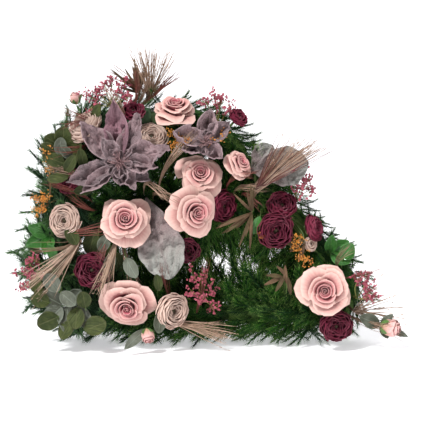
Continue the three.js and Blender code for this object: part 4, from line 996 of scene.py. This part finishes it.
def cupped(bm, scaled, rank, angle, depth, rng, ruffle=0.02):
    """One ranunculus petal: a round cup that closes over the next rank inwards."""
    _, half, rim, high, open_share = rank
    turn, phase = rng.uniform(-0.08, 0.08), rng.uniform(0, math.tau)
    full = rng.uniform(0.96, 1.04)
    last = math.pi * (0.66 if open_share < 1 else 0.66 - 0.35 * (open_share - 0.9))

    def shape(across, along):
        share = along * (1 - 0.16 * abs(across) ** 2.4)
        bend = last * share
        out = 0.03 + rim * full * math.sin(min(bend, math.pi / 2)) * (1 + 0.06 * across)
        if bend > math.pi / 2:
            out -= rim * 0.55 * (1 - math.sin(bend)) * (1.4 - min(1.0, open_share))
        up = high * (1 - math.cos(bend)) / (1 - math.cos(last))
        up += ruffle * math.sin(5 * across + phase) * share ** 3
        out += ruffle * math.cos(4 * across + phase) * share ** 3
        spread = half * across * (0.5 + 0.5 * math.sin(math.pi * min(share, 0.6) / 1.2))
        return scaled @ (spoke(angle + turn + spread) * out + Vector((0, 0, up)))
    sheet(bm, (6, 5), shape, rng.random(), depth)


def ranunculus(bm, at, faces, width, rng, ruffle):
    """The petals of a ranunculus, rank by rank from its heart."""
    radius = width / 2
    ahead = Vector(faces).normalized()
    foot = Vector(at) - ahead * 0.8 * radius
    scaled = looking(foot, ahead, rng.uniform(0, math.tau)) @ Matrix.Scale(radius * 0.94, 4)
    turn = 0.0
    for number, rank in enumerate(RANUNCULUS_RANKS):
        if width < SMALL_RANUNCULUS and number in LARGE_ONLY:
            continue
        count, depth = rank[0], number / (len(RANUNCULUS_RANKS) - 1)
        for k in range(count):
            angle = turn + math.tau * (k + rng.uniform(-0.1, 0.1)) / count
            cupped(bm, scaled, rank, angle, depth, rng, ruffle)
        turn += 0.9 + math.pi / count
    return foot, scaled


def stem_to(bm, foot, finish, width=2.2):
    """A wired stem from a bloom's foot back into the fir."""
    seat = seat_of(foot)
    way = foot.lerp(seat, 0.5) + Vector((0, 0, -2))
    stalk(bm, bent(foot, way, seat), lambda share: width, 7, 8, finish=finish)


def calyx(bm, pose, radius, rng, finish):
    """Five green sepals under a bloom."""
    for k in range(5):
        side = spoke(math.tau * (k + rng.uniform(-0.1, 0.1)) / 5)
        base = pose @ (side * 0.03 * radius + Vector((0, 0, -0.02 * radius)))
        tip = pose @ (side * 0.55 * radius + Vector((0, 0, 0.04 * radius)))
        ahead = pose.to_3x3() @ Vector((0, 0, 1))
        sheet(bm, (4, 5), blade(base, tip, 0.3 * radius, ahead, -0.12, 0.2), rng.random(), 0.5, finish)


def put_rose(node, spec, number):
    """A rose with its calyx and stem."""
    rng = random.Random(100 + number)
    bm = fresh()
    foot, pose = rose(bm, *spec, rng)
    calyx(bm, pose, spec[2] / 2, rng, 1)
    thicken(bm, sizes().petal)
    stem_to(bm, foot, 1)
    pick = colours()
    # The last two colours are the rim, partly paler dye and partly painted highlight, and the painted shade
    # at each petal's foot.
    silk = look("rose_silk", petal_finish, pick.rose, pick.rose_heart, (0.82, 0.62, 0.54),
                (0.38, 0.085, 0.11))
    settle(bm, node, "rose_pink", (silk, green_stem()))


def put_ranunculus(node, spec, number, slot, silk, eye, ruffle):
    """A ranunculus with its eye, calyx and stem."""
    rng = random.Random(200 + number)
    bm = fresh()
    foot, scaled = ranunculus(bm, *spec, rng, ruffle)
    calyx(bm, looking(foot, spec[1]), spec[2] / 2, rng, 1)
    thicken(bm, sizes().petal)
    bead(bm, scaled @ Matrix.Translation((0, 0, 0.52)), 0.14, 2, 0.3, finish=2)
    stem_to(bm, foot, 1)
    settle(bm, node, slot, (silk, green_stem(), eye))


def put_bud(node, spec, number):
    """A half-open rosebud: three ranks of petals in five sepals, with the leaves at its foot."""
    rng = random.Random(300 + number)
    at, faces, width = spec
    radius = width / 2
    ahead = Vector(faces).normalized()
    foot = Vector(at) - ahead * 1.2 * radius
    scaled = looking(foot, ahead, rng.uniform(0, math.tau)) @ Matrix.Scale(radius, 4)
    bm = fresh()
    for ring, (count, half, rim, high) in enumerate(BUD_RANKS):
        for k in range(count):
            angle = ring * 1.3 + math.tau * k / count + rng.uniform(-0.1, 0.1)
            cupped(bm, scaled, (count, half, rim, high, 0.8), angle, 0.35 + 0.3 * ring, rng)
    for k in range(5):
        side = spoke(math.tau * k / 5)
        base, tip = scaled @ (side * 0.2), scaled @ (side * 1.12 + Vector((0, 0, 1.15)))
        out = scaled.to_3x3() @ (side - Vector((0, 0, 0.4)))
        sheet(bm, (4, 6), blade(base, tip, 0.62 * radius, out, 0.14, -0.3), rng.random(), 0.5, 1)
    if node == "bud_low":
        leaf = blade(foot, foot + Vector((-38, -20, -32)), 19, (0, -1, 0.3), 0.12, 0.3)
        sheet(bm, (6, 9), leaf, 0.8, 0.5, 2)
    for tip, wide, kind in BUD_LEAVES.get(node, ()):
        leaf = blade(foot, foot + Vector(tip), wide, (0, -1, 0.3), 0.1, 0.3)
        sheet(bm, (4, 7) if kind == 1 else (6, 9), leaf, rng.random(), 0.5, kind)
    thicken(bm, sizes().petal)
    stem_to(bm, foot, 1, 1.6)
    # The last two colours are the rim, partly paler dye and partly painted highlight, and the painted shade
    # at each petal's foot.
    silk = look("bud_silk", petal_finish, (0.72, 0.40, 0.38), (0.52, 0.17, 0.20), (0.80, 0.56, 0.50),
                (0.45, 0.30, 0.16))
    green = look("sepal_green", leaf_finish, (0.14, 0.26, 0.07), (0.06, 0.14, 0.03), (0.22, 0.34, 0.12),
                 0.45, 0.1)
    settle(bm, node, "bud_pink", (silk, green, eucalyptus_leaf()))


def inner_petals(bm, pose, ahead, boss, rng):
    """Eight short folded petals round a magnolia's boss."""
    for k in range(8):
        side = spoke(math.tau * (k + rng.uniform(-0.3, 0.3)) / 8)
        long = boss * rng.uniform(1.9, 3.3)
        tip = pose @ (side * long + Vector((0, 0, boss * rng.uniform(0.9, 1.9))))
        shape = blade(pose @ (side * 3), tip, boss * 1.7, ahead, -0.20, 0.6, 0.22, 0.12, 2, 0.5, 1.0,
                      crinkle=0.24, phase=k, twist=rng.uniform(-1.0, 1.0))
        sheet(bm, (7, 11), shape, rng.random(), 0.3)


def stamens(bm, pose, boss, rng):
    """Hooked stamens that stand out of a magnolia's boss, each with a round end."""
    for _ in range(46):
        angle, tilt = rng.uniform(0, math.tau), rng.uniform(0.15, 1.05)
        way = spoke(angle) * math.sin(tilt) + Vector((0, 0, math.cos(tilt)))
        long = boss * rng.uniform(1.5, 2.7)
        hook = Vector((-way.y, way.x, 0)) * rng.uniform(-9, 9)
        end = pose @ (way * long + hook)
        path = bent(pose @ (way * boss * 0.3), pose @ (way * long * 0.8), end)
        stalk(bm, path, lambda share: 0.75 * (1.1 - 0.5 * share), 4, 6, rng.random(), finish=1)
        bead(bm, Matrix.Translation(end), 1.1, 1, rng.random(), finish=1)


def put_magnolia(node, spec, number):
    """A felt magnolia: its petals, the folded ones round the boss and its stamens."""
    rng = random.Random(400 + number)
    at, faces, boss, petals = spec
    middle, ahead = Vector(at), Vector(faces).normalized()
    bm = fresh()
    for tip, width, arch in petals:
        end = Vector(tip)
        base = middle + (end - middle).normalized() * 3
        shape = blade(base, end, width, ahead, arch, 0.55, 0.26, 0.10, 1.6, 0.48, 1.0, 0.03,
                      crinkle=0.30, phase=rng.uniform(0, math.tau), twist=rng.uniform(-0.8, 0.8))
        sheet(bm, (12, 24), shape, rng.random(), 0.8, 3 if tip in PINK_PETALS else 0)
    pose = looking(middle, ahead)
    inner_petals(bm, pose, ahead, boss, rng)
    thicken(bm, sizes().felt)
    stamens(bm, pose, boss, rng)
    foot = middle - ahead * boss * 0.4
    bead(bm, pose @ Matrix.Scale(0.8, 4, (0, 0, 1)), boss * 0.75, 2, 0.4, finish=1)
    stem_to(bm, foot, 2, 3)
    pick = colours()
    felt = look("mauve_felt", felt_finish, pick.mauve, shade(pick.mauve, 1.15), (0.52, 0.45, 0.47))
    anthers = look("pale_stamens", bead_finish, (0.46, 0.29, 0.28), (0.16, 0.08, 0.09), 0.8)
    pink = look("pink_felt", felt_finish, (0.33, 0.15, 0.19), (0.30, 0.14, 0.17), (0.50, 0.34, 0.38))
    settle(bm, node, "felt_mauve", (felt, anthers, green_stem(), pink))


def put_felt_leaf(node, spec, number):
    """One or two large crinkled felt leaves on a stem."""
    rng = random.Random(500 + number)
    base, blades = spec
    foot = Vector(base)
    bm = fresh()
    for tip, width, faces in blades:
        shape = blade(foot, tip, width, faces, 0.06, 0.16, 0.10, 0.07, 3, 0.62, 0.62, scallop=0.08,
                      crinkle=0.15, phase=rng.uniform(0, math.tau), twist=rng.uniform(-0.2, 0.2))
        sheet(bm, (20, 40), shape, rng.random(), 0.8)
    thicken(bm, sizes().felt)
    stem_to(bm, foot.lerp(Vector(blades[0][0]), 0.06), 1)
    pick = colours()
    felt = look("two_tone_felt", felt_finish, pick.mauve, pick.felt_green,
                (0.50, 0.50, 0.46), (0.35, 0.85))
    settle(bm, node, "felt_grey", (felt, green_stem()))


def put_leaves(node, spec, number, slot, leaf, second=None, repeat=1, **shape):
    """A spray of leaves on a twig, with its further leaves on twigs of their own."""
    rng = random.Random(600 + number)
    twig, leaves = spec
    bm = fresh()
    for base, tip, width in leaves:
        for k in range(repeat):
            end = Vector(tip) + (scatter(rng, 11) if k else Vector())
            made = blade(base, end, width, phase=rng.uniform(0, math.tau), **shape)
            olive = k % 2 or node == "eucalyptus_high"
            sheet(bm, (8, 12) if repeat == 1 else (4, 8), made, rng.random(), 0.6, 2 if olive else 0)
    further = [(from_photo(*middle), *rest) for middle, *rest in PHOTO_LEAVES.get(node, ())]
    twigs = []
    for middle, angle, long, width, which in (*further, *MORE_LEAVES.get(node, ())):
        angle = math.radians(angle)
        way = Vector((math.cos(angle), rng.uniform(-0.35, 0.1), math.sin(angle)))
        base, tip = Vector(middle) - way * long / 2, Vector(middle) + way * long / 2
        faces = (rng.uniform(-0.3, 0.3), -1, rng.uniform(-0.1, 0.5))
        made = blade(base, tip, width, faces, phase=rng.uniform(0, math.tau), **shape)
        sheet(bm, (8, 12), made, rng.random(), 0.6, 2 if which else 0)
        twigs.append((base, way))
    thicken(bm, LEAF_THICKNESS)
    seat = seat_of(Vector(twig[0]))
    stalk(bm, bent(seat, *twig), lambda share: 2.0 - 0.9 * share, 6, 8, finish=1)
    for base, way in twigs:
        path = bent(seat_of(base), base - way * 12, base + way * 4)
        stalk(bm, path, lambda share: 1.3 - 0.6 * share, 5, 7, finish=1)
    settle(bm, node, slot, (leaf, green_stem(), second or leaf))


# Straw, filler and berries

def straw_grains(bm, path, rng):
    """Five grains near the end of a straw."""
    for _ in range(5):
        at = path(rng.uniform(0.7, 1.0)) + scatter(rng, 1.0)
        grow = (path(1.0) - path(0.9)).normalized()
        pose = looking(at, grow + scatter(rng, 0.3)) @ Matrix.Diagonal((0.55, 0.55, 2.4, 1))
        bead(bm, pose, 1.0, 1, rng.random())


def put_straw(node, spec, number):
    """A bunch of straw that fans out to its tips, with its further stalks."""
    rng = random.Random(700 + number)
    root, tips, spread = spec
    root, tips = Vector(root), [Vector(tip) for tip in tips]
    seat = seat_of(root)
    run = (tips[1] - root).length
    stalks = round(sizes().straws * (1.0 if node in FANS else 0.55))
    bm = fresh()
    for k in range(stalks):
        share = k / (stalks - 1) * (len(tips) - 1)
        low = min(int(share), len(tips) - 2)
        end = tips[low].lerp(tips[low + 1], share - low) + scatter(rng, spread * 0.5)
        end = root.lerp(end, rng.uniform(0.84 if node == "straw_top" else 0.72, 1.05))
        foot = root + scatter(rng, 2.2)
        mid = foot.lerp(end, 0.55) + scatter(rng, run * 0.03)
        droop = end + Vector((0, 0, -rng.random() * run * 0.04))
        path = bent(foot.lerp(seat, 0.25), foot, mid, droop)
        tone, brown = rng.random(), rng.random() >= 0.72
        stalk(bm, path, lambda s: 0.88 * (1 - 0.55 * s), 3, 8, tone, finish=int(brown))
        if rng.random() < 0.35:
            straw_grains(bm, path, rng)
    for tip in FANS.get(node, ()):
        for _ in range(5):
            end = Vector(tip) + scatter(rng, 7)
            mid = root.lerp(end, 0.6) + scatter(rng, 5)
            stalk(bm, bent(root, mid, end), lambda s: 1.0 - 0.7 * s, 3, 7, rng.random(), finish=2)
    for start, end, count, kind in PHOTO_STALKS.get(node, ()):
        start, end = Vector(from_photo(*start)), Vector(from_photo(*end))
        for _ in range(count):
            tip = end + scatter(rng, 6)
            path = bent(seat_of(start), start, start.lerp(tip, 0.5) + scatter(rng, 5), tip)
            stalk(bm, path, lambda s: 0.75 * (1 - 0.6 * s), 3, 8, rng.random(), finish=kind)
    stalk(bm, bent(seat, root.lerp(seat, 0.5), root), lambda s: 2.2, 7, 6, 0.3, finish=1)
    color = colours().straw
    pale = look("straw_pale", stem_finish, shade(color, 1.15), shade(color, 0.62), 0.5)
    dull = look("straw_brown", stem_finish, shade(color, 0.72), (0.16, 0.09, 0.05), 0.55)
    rust = look("grass_rust", stem_finish, (0.24, 0.07, 0.05), (0.09, 0.03, 0.025), 0.55)
    settle(bm, node, "straw_gold", (pale, dull, rust))


def bud_shape():
    """A tiny pointed bud that is used many times."""
    bm = fresh()
    for vert in bmesh.ops.create_icosphere(bm, subdivisions=1, radius=1.0)["verts"]:
        vert.co.z = vert.co.z * 1.25 + max(0.0, vert.co.z) * 0.4
    for face in bm.faces:
        face.smooth = True
    return as_mesh(bm, "bud_copy")


def floret_shape():
    """A tiny open floret of five petals that is used many times."""
    bm = fresh()
    for k in range(5):
        side = spoke(math.tau * k / 5)
        leaf = blade(side * 0.15, side * 1.55 + Vector((0, 0, 0.55)), 1.25, (0, 0, 1), 0.0, 0.5)
        sheet(bm, (1, 2), leaf, 0.5, 0.8)
    thicken(bm, 0.22)
    return as_mesh(bm, "floret_copy")


def put_sprays(node, spec, number, slot, skin, twig, size, with_florets):
    """Twigs that branch towards their ends and carry many buds or berries."""
    rng = random.Random(800 + number)
    root, tips = spec
    root = Vector(root)
    seat = seat_of(root)
    count = sizes().florets
    bud, floret = bud_shape(), floret_shape()
    bm = fresh()
    for tip in tips:
        tip = Vector(tip)
        mid = root.lerp(tip, 0.5) + scatter(rng, 5)
        path = bent(root, mid, tip)
        stalk(bm, path, lambda s: 1.1 - 0.6 * s, 5, 8, rng.random(), finish=1)
        for _ in range(max(4, count // 4)):
            start = path(rng.uniform(0.62 if with_florets else 0.5, 1.0))
            grow = (tip - root).normalized() * rng.uniform(2, 9)
            end = start + grow + scatter(rng, 5.5 if with_florets else 3.85)
            stalk(bm, bent(start, end), lambda s: 0.45, 3, 3, rng.random(), finish=1)
            for _ in range(4):
                at = end + scatter(rng, 2.3)
                pose = looking(at, end - start + scatter(rng, 2), rng.uniform(0, 6))
                shape = floret if with_florets and rng.random() < 0.4 else bud
                stamp(bm, shape, pose @ Matrix.Scale(size * rng.uniform(0.7, 1.25), 4), rng.random())
    stalk(bm, bent(seat, root.lerp(seat, 0.5), root), lambda s: 1.8, 6, 6, 0.4, finish=1)
    settle(bm, node, slot, (skin, twig))
    bpy.data.meshes.remove(bud)
    bpy.data.meshes.remove(floret)


# Fir

def fir_spray(seed):
    """One spray of fir along Z as a mesh: a bent twig with needles all round it."""
    rng = random.Random(seed)
    want = sizes()
    bm = fresh()
    reach, _, toned, deep = (bm.verts.layers.float[name] for name in LAYERS)
    long = want.spray * rng.uniform(0.9, 1.06)
    count = int(long * 1.15)
    for k in range(count):
        share = (k + rng.random()) / count
        around = k * 2.4 + rng.uniform(-0.4, 0.4)
        lean = math.radians(rng.uniform(34, 62) * (1 - 0.55 * share ** 3))
        size = want.needle * (1.05 - 0.38 * share) * rng.uniform(0.8, 1.1)
        pose = (Matrix.Translation((0, 0, long * share * 0.98)) @ Matrix.Rotation(around, 4, "Z")
                @ Matrix.Rotation(lean, 4, "Y") @ Matrix.Translation((0, 0, size / 2))
                @ Matrix.Diagonal((0.5, 1.0, 1.0, 1.0)))
        needle = bmesh.ops.create_cone(bm, cap_ends=True, segments=3, radius1=want.needle_width / 2,
                                       radius2=0, depth=size, matrix=pose)["verts"]
        foot = Vector((0, 0, long * share))
        top = max(needle, key=lambda vert: (vert.co - foot).length)
        for vert in needle:
            vert[reach], vert[toned], vert[deep] = float(vert == top), rng.random(), share
    twig = bmesh.ops.create_cone(bm, cap_ends=True, segments=5, radius1=1.5, radius2=0.6, depth=long,
                                 matrix=Matrix.Translation((0, 0, long / 2)))["verts"]
    for vert in twig:
        vert[reach], vert[toned], vert[deep] = 0.0, 0.3, 0.0
    bow = rng.uniform(0.02, 0.22)
    for vert in bm.verts:
        vert.co.x += bow * long * (vert.co.z / long) ** 2
    for face in bm.faces:
        face.smooth = True
    return as_mesh(bm, "fir_spray_copy")


def spray_points(root, step):
    """Points along a spray and a little past its end, by which it is kept clear."""
    return [root + step * share for share in SPRAY_MARKS]


def clear_of_blooms(points):
    """Whether the points leave room round each bloom and in front of it."""
    blooms = (*ROSES.values(), *CREAM_RANUNCULUS.values(), *PLUM_RANUNCULUS.values(), *BUDS.values())
    for at, faces, width in blooms:
        ahead, radius = Vector(faces).normalized(), width / 2
        for point in points:
            apart = point - Vector(at)
            level = apart.dot(ahead)
            if level > -0.55 * radius and (apart - ahead * level).length < radius * 0.92:
                return False
    return True


def clear_of_gap(points):
    """Whether the points, seen along Y, leave the gap open."""
    return all(math.hypot(point.x - GAP[0], point.z - GAP[1]) > GAP[2] for point in points)


def drop_sprays(bm, node, course, start, end, sprays, rng):
    """Longer sprays that lean into the heart's openings and hang over them."""
    for _ in range(DROPS.get(node, 0)):
        point, heading = course.at(rng.uniform(start, end))
        inward = Vector((heading.z, 0, -heading.x))
        if course is CROSSBAR and rng.random() < 0.3:
            inward.negate()
        way = inward + Vector((rng.uniform(-0.45, 0.45), rng.uniform(-0.3, 0.3), rng.uniform(-0.6, 0.15)))
        way.normalize()
        root = point + inward * BINDING * 0.6 + Vector((0, rng.uniform(-24, 20), 0))
        small = rng.uniform(1.0, 1.45)
        points = spray_points(root, way * sizes().spray * small)[:-1]
        if not clear_of_blooms(points) or not clear_of_gap(points):
            continue
        pose = Matrix.Translation(root) @ turned(way.cross(Vector((0, 1, 0))).normalized(), way)
        pose = pose @ Matrix.Rotation(rng.uniform(0, math.tau), 4, "Z") @ Matrix.Scale(small, 4)
        stamp(bm, rng.choice(sprays), pose, rng.random())


def put_fir(node, course, start, end, sprays, needles, rng):
    """A dense stretch of fir: rows of sprays bound round the heart's line."""
    bm = fresh()
    want = sizes()
    gap = want.spray_gap
    for row in range(int((end - start) / gap)):
        left = course.at(start + gap * row)[0].x < LEFT_OF
        count = ROW_AT_LEFT if left else ROW
        for k in range(count):
            point, heading = course.at(start + gap * (row + rng.random()))
            out = Vector((-heading.z, 0, heading.x))
            angle = math.tau * (k + 0.5 * (row % 2) + rng.uniform(-0.3, 0.3)) / count
            normal = (out * math.cos(angle) + Vector((0, 1, 0)) * math.sin(angle)).normalized()
            lean = math.radians(rng.uniform(14, 30) if rng.random() < 0.6 else rng.uniform(30, 62))
            small = 1.0 if lean < 0.55 else 0.78 + 0.22 * max(0.0, math.cos(angle))
            if left and normal.x < -0.2:
                point = point + Vector((normal.x, 0, normal.z)) * OUT_AT_LEFT
            if node in SLOPE_FIR and normal.z > 0.1:
                small *= SLOPE_SHARE
                point = point + normal * OUT_ON_SLOPE
            elif point.x > RIGHT_OF or (node in TOP_FIR and normal.z > 0.2):
                small *= TOP_SHARE
            toward = heading if rng.random() < 0.8 else -heading
            way = (toward * math.cos(lean) + normal * math.sin(lean)).normalized()
            root = point + normal * BINDING * 0.75
            reach = want.spray * small
            points = spray_points(root, way * reach)
            if points[-1].z < LOWEST_TIP:
                way = (way + Vector((0, 0, (LOWEST_TIP + 2 - points[-1].z) / reach))).normalized()
                points = spray_points(root, way * reach)
            if not clear_of_blooms(points) or not clear_of_gap(points[:-1]):
                continue
            turn = way.cross(normal)
            across = turn.cross(way).normalized() if turn.length > 0.01 else heading
            pose = Matrix.Translation(root) @ turned(across, way)
            pose = pose @ Matrix.Scale(small * rng.uniform(0.88, 1.05), 4)
            stamp(bm, rng.choice(sprays), pose, rng.random())
    drop_sprays(bm, node, course, start, end, sprays, rng)

    def line(share):
        return course.at(start + (end - start) * share)[0]

    def width(share):
        return BINDING * (0.68 + 0.04 * noise.noise(Vector((share * 9, 0, 0))))
    stalk(bm, line, width, 20, 24, 0.1, 0.0)
    settle(bm, node, "fir_green", (needles,), 180)


# Operators

def aimed(name, data, place, target):
    """Adds a light or a camera that stands at a place and looks at a target, in metres."""
    made = bpy.data.objects.new(name, data)
    made.location = place
    made.rotation_euler = (Vector(target) - Vector(place)).to_track_quat("-Z", "Y").to_euler()
    bpy.context.scene.collection.objects.link(made)
    return made


def pale_floor():
    """A floor that runs far past what the camera sees."""
    bm = bmesh.new()
    bmesh.ops.create_grid(bm, x_segments=1, y_segments=1, size=60.0)
    floor = bpy.data.objects.new("floor", as_mesh(bm, "floor"))
    floor.data.materials.append(look("pale_floor", floor_finish, (0.93, 0.93, 0.94), (0.90, 0.90, 0.915)))
    bpy.context.scene.collection.objects.link(floor)
    return floor


def pale_sky():
    """A sky that is white to the camera and lights the heart less than it shows."""
    world = bpy.data.worlds.new("pale_sky")
    world.use_nodes = True
    sky = world.node_tree.nodes["Background"]
    sky.inputs["Color"].default_value = (1.0, 1.0, 1.0, 1)
    shown = put(world.node_tree, "ShaderNodeLightPath").outputs["Is Camera Ray"]
    glow = put(world.node_tree, "ShaderNodeMapRange", {"Value": shown, "To Min": 0.16, "To Max": 1.0})
    world.node_tree.links.new(glow.outputs[0], sky.inputs["Strength"])
    return world


class HEART_OT_stage(bpy.types.Operator):
    """Adds the pale floor, the soft lights and the camera at the photo's angle"""
    bl_idname = "heart.stage"
    bl_label = "Stage"

    def execute(self, context):
        scene = context.scene
        floor = pale_floor()
        scene.world = pale_sky()
        sun = bpy.data.lights.new("key_light", "SUN")
        sun.energy, sun.angle = 4.0, math.radians(10)
        aimed("key_light", sun, (0, 0, 0), (0.55, 0.72, -0.95))
        lights = (("fill_light", (2.4, -2.4, 1.2), 2.4, 24.0), ("top_light", (0.3, 0.5, 3.0), 1.6, 34.0))
        for name, place, size, power in lights:
            lamp = bpy.data.lights.new(name, "AREA")
            lamp.shape, lamp.size, lamp.energy = "DISK", size, power
            aimed(name, lamp, place, (0, 0, 0.2))
        view = bpy.data.cameras.new("photo_view")
        view.lens, view.sensor_width = sizes().lens, 36.0
        view.clip_end = 200.0
        target = TO_FRAME @ Vector((CAMERA_TARGET[0], 0, CAMERA_TARGET[1]))
        away = Vector((0, -math.cos(CAMERA_RISE), math.sin(CAMERA_RISE))) * (CAMERA_AWAY / 1000)
        scene.camera = aimed("photo_view", view, target + away, target)
        scene.view_settings.view_transform = "Standard"
        scene.view_settings.look = "None"
        return {"FINISHED"}


class HEART_OT_core(bpy.types.Operator):
    """Gives the foam core its finish"""
    bl_idname = "heart.core"
    bl_label = "Foam core"

    def execute(self, context):
        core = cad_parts["heart_core"]
        core.data.materials.clear()
        foam = look("floral_foam", foam_finish, (0.10, 0.15, 0.07), (0.05, 0.08, 0.035))
        core.data.materials.append(foam)
        return {"FINISHED"}


class HEART_OT_fir(bpy.types.Operator):
    """Dresses the heart and its crossbar with fir"""
    bl_idname = "heart.fir"
    bl_label = "Fir"

    def execute(self, context):
        pick = colours()
        sprays = [fir_spray(seed) for seed in range(1, 8)]
        # Each fir finish gets the tips' colour, partly paler young growth and partly painted highlight, the
        # needles' green, and the dark green that the painted shade at the needles' feet and the darkened
        # sprays are made from.
        green = look("fir_needles", fir_finish, pick.fir_light, pick.fir, (0.014, 0.060, 0.016))
        blue = look("fir_needles_blue", fir_finish, (0.30, 0.50, 0.28), pick.fir_blue,
                    (0.018, 0.055, 0.028))
        share = RING.length / len(FIR_STRETCHES)
        for k, node in enumerate(FIR_STRETCHES):
            tint = blue if node in BLUE_FIR else green
            put_fir(node, RING, share * k, share * (k + 1), sprays, tint, random.Random(900 + k))
        put_fir("fir_bridge", CROSSBAR, 30, CROSSBAR.length - 20, sprays, green, random.Random(950))
        for spray in sprays:
            bpy.data.meshes.remove(spray)
        return {"FINISHED"}


class HEART_OT_roses(bpy.types.Operator):
    """Adds the pink roses"""
    bl_idname = "heart.roses"
    bl_label = "Roses"

    def execute(self, context):
        for piece in numbered(ROSES):
            put_rose(*piece)
        return {"FINISHED"}


class HEART_OT_ranunculus(bpy.types.Operator):
    """Adds the cream and the plum ranunculus"""
    bl_idname = "heart.ranunculus"
    bl_label = "Ranunculus"

    def execute(self, context):
        pick = colours()
        # For both, the inner colour is a darker copy of the petal colour, painted shade deep in the bloom;
        # then the rim, partly paler dye and partly painted highlight, and the painted shade at each petal's
        # foot.
        cream = look("cream_silk", petal_finish, pick.cream, shade(pick.cream, 0.72),
                     (0.80, 0.63, 0.54), (0.36, 0.17, 0.13), fold=0.6)
        plum = look("plum_silk", petal_finish, pick.plum, shade(pick.plum, 0.5),
                    (0.28, 0.045, 0.085), shade(pick.plum, 0.12), sheen=0.04, rough=0.45, fold=0.66)
        eye = look("dark_eye", bead_finish, (0.09, 0.07, 0.03), (0.03, 0.025, 0.015), 0.7)
        for piece in numbered(CREAM_RANUNCULUS):
            put_ranunculus(*piece, "petal_cream", cream, eye, 0.034)
        for piece in numbered(PLUM_RANUNCULUS, 20):
            put_ranunculus(*piece, "petal_plum", plum, eye, 0.085)
        return {"FINISHED"}


class HEART_OT_buds(bpy.types.Operator):
    """Adds the pink rosebuds"""
    bl_idname = "heart.buds"
    bl_label = "Buds"

    def execute(self, context):
        for piece in numbered(BUDS):
            put_bud(*piece)
        return {"FINISHED"}


class HEART_OT_magnolias(bpy.types.Operator):
    """Adds the felt magnolias"""
    bl_idname = "heart.magnolias"
    bl_label = "Magnolias"

    def execute(self, context):
        for piece in numbered(MAGNOLIAS):
            put_magnolia(*piece)
        return {"FINISHED"}


class HEART_OT_leaves(bpy.types.Operator):
    """Adds the felt, eucalyptus, green and brown leaves"""
    bl_idname = "heart.leaves"
    bl_label = "Leaves"

    def execute(self, context):
        pick = colours()
        for piece in numbered(FELT_LEAVES):
            put_felt_leaf(*piece)
        green = look("green_leaf", leaf_finish, pick.leaf, shade(pick.leaf, 0.5), (0.16, 0.38, 0.12),
                     0.35, 0.3)
        brown = look("brown_leaf", leaf_finish, pick.brown, shade(pick.brown, 0.5), (0.22, 0.14, 0.08))
        olive = look("olive_leaf", leaf_finish, (0.080, 0.098, 0.024), (0.022, 0.034, 0.008),
                     (0.17, 0.17, 0.08))
        rust = look("rust_leaf", leaf_finish, (0.14, 0.12, 0.05), (0.07, 0.035, 0.02), (0.28, 0.18, 0.11))
        for piece in numbered(GREY_LEAVES):
            put_leaves(*piece, "leaf_grey", eucalyptus_leaf(), olive,
                       arch=0.1, dish=0.25, full=0.5, wave=0.03)
        for piece in numbered(GREEN_LEAVES, 10):
            put_leaves(*piece, "leaf_green", green,
                       arch=0.12, dish=0.3, crease=0.06, widest=0.45)
        for piece in numbered(BROWN_LEAVES, 20):
            put_leaves(*piece, "leaf_brown", brown, rust, 6,
                       arch=0.14, dish=0.4, curl=-0.05)
        return {"FINISHED"}


class HEART_OT_straw(bpy.types.Operator):
    """Adds the bunches of straw and rust-red grass"""
    bl_idname = "heart.straw"
    bl_label = "Straw"

    def execute(self, context):
        for piece in numbered(STRAW):
            put_straw(*piece)
        return {"FINISHED"}


class HEART_OT_filler(bpy.types.Operator):
    """Adds the pink filler"""
    bl_idname = "heart.filler"
    bl_label = "Pink filler"

    def execute(self, context):
        pick = colours()
        skin = look("filler_buds", bead_finish, shade(pick.filler, 1.25), shade(pick.filler, 0.6), 0.6)
        twig = look("filler_twig", stem_finish, (0.30, 0.32, 0.09), (0.13, 0.08, 0.03))
        for piece in numbered(PINK_FILLER):
            put_sprays(*piece, "filler_pink", skin, twig, 1.7, True)
        return {"FINISHED"}


class HEART_OT_berries(bpy.types.Operator):
    """Adds the yellow-orange berries"""
    bl_idname = "heart.berries"
    bl_label = "Berries"

    def execute(self, context):
        pick = colours()
        skin = look("berry_skin", bead_finish, shade(pick.berry, 1.15), (0.50, 0.16, 0.03), 0.35, 0.3)
        twig = look("berry_twig", stem_finish, (0.22, 0.16, 0.06), (0.10, 0.06, 0.03))
        for piece in numbered(BERRIES, 20):
            put_sprays(*piece, "berry_yellow", skin, twig, 1.15, False)
        return {"FINISHED"}


STEPS = (HEART_OT_stage, HEART_OT_core, HEART_OT_fir, HEART_OT_roses, HEART_OT_ranunculus, HEART_OT_buds,
         HEART_OT_magnolias, HEART_OT_leaves, HEART_OT_straw, HEART_OT_filler, HEART_OT_berries)


class HEART_PT_panel(bpy.types.Panel):
    bl_label = "Funeral heart"
    bl_idname = "HEART_PT_panel"
    bl_space_type = "VIEW_3D"
    bl_region_type = "UI"
    bl_category = "Funeral heart"

    def draw(self, context):
        for group in (context.scene.heart_sizes, context.scene.heart_colours):
            column = self.layout.column(align=True)
            for name in group.__annotations__:
                column.prop(group, name)
        for step in STEPS:
            self.layout.operator(step.bl_idname)


CLASSES = (HeartSizes, HeartColours, *STEPS, HEART_PT_panel)


def register():
    for item in CLASSES:
        bpy.utils.register_class(item)
    bpy.types.Scene.heart_sizes = PointerProperty(type=HeartSizes)
    bpy.types.Scene.heart_colours = PointerProperty(type=HeartColours)


def unregister():
    del bpy.types.Scene.heart_colours
    del bpy.types.Scene.heart_sizes
    for item in reversed(CLASSES):
        bpy.utils.unregister_class(item)


def main():
    register()
    for step in STEPS:
        group, name = step.bl_idname.split(".")
        getattr(getattr(bpy.ops, group), name)()
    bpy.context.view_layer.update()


if __name__ == "__main__":
    main()
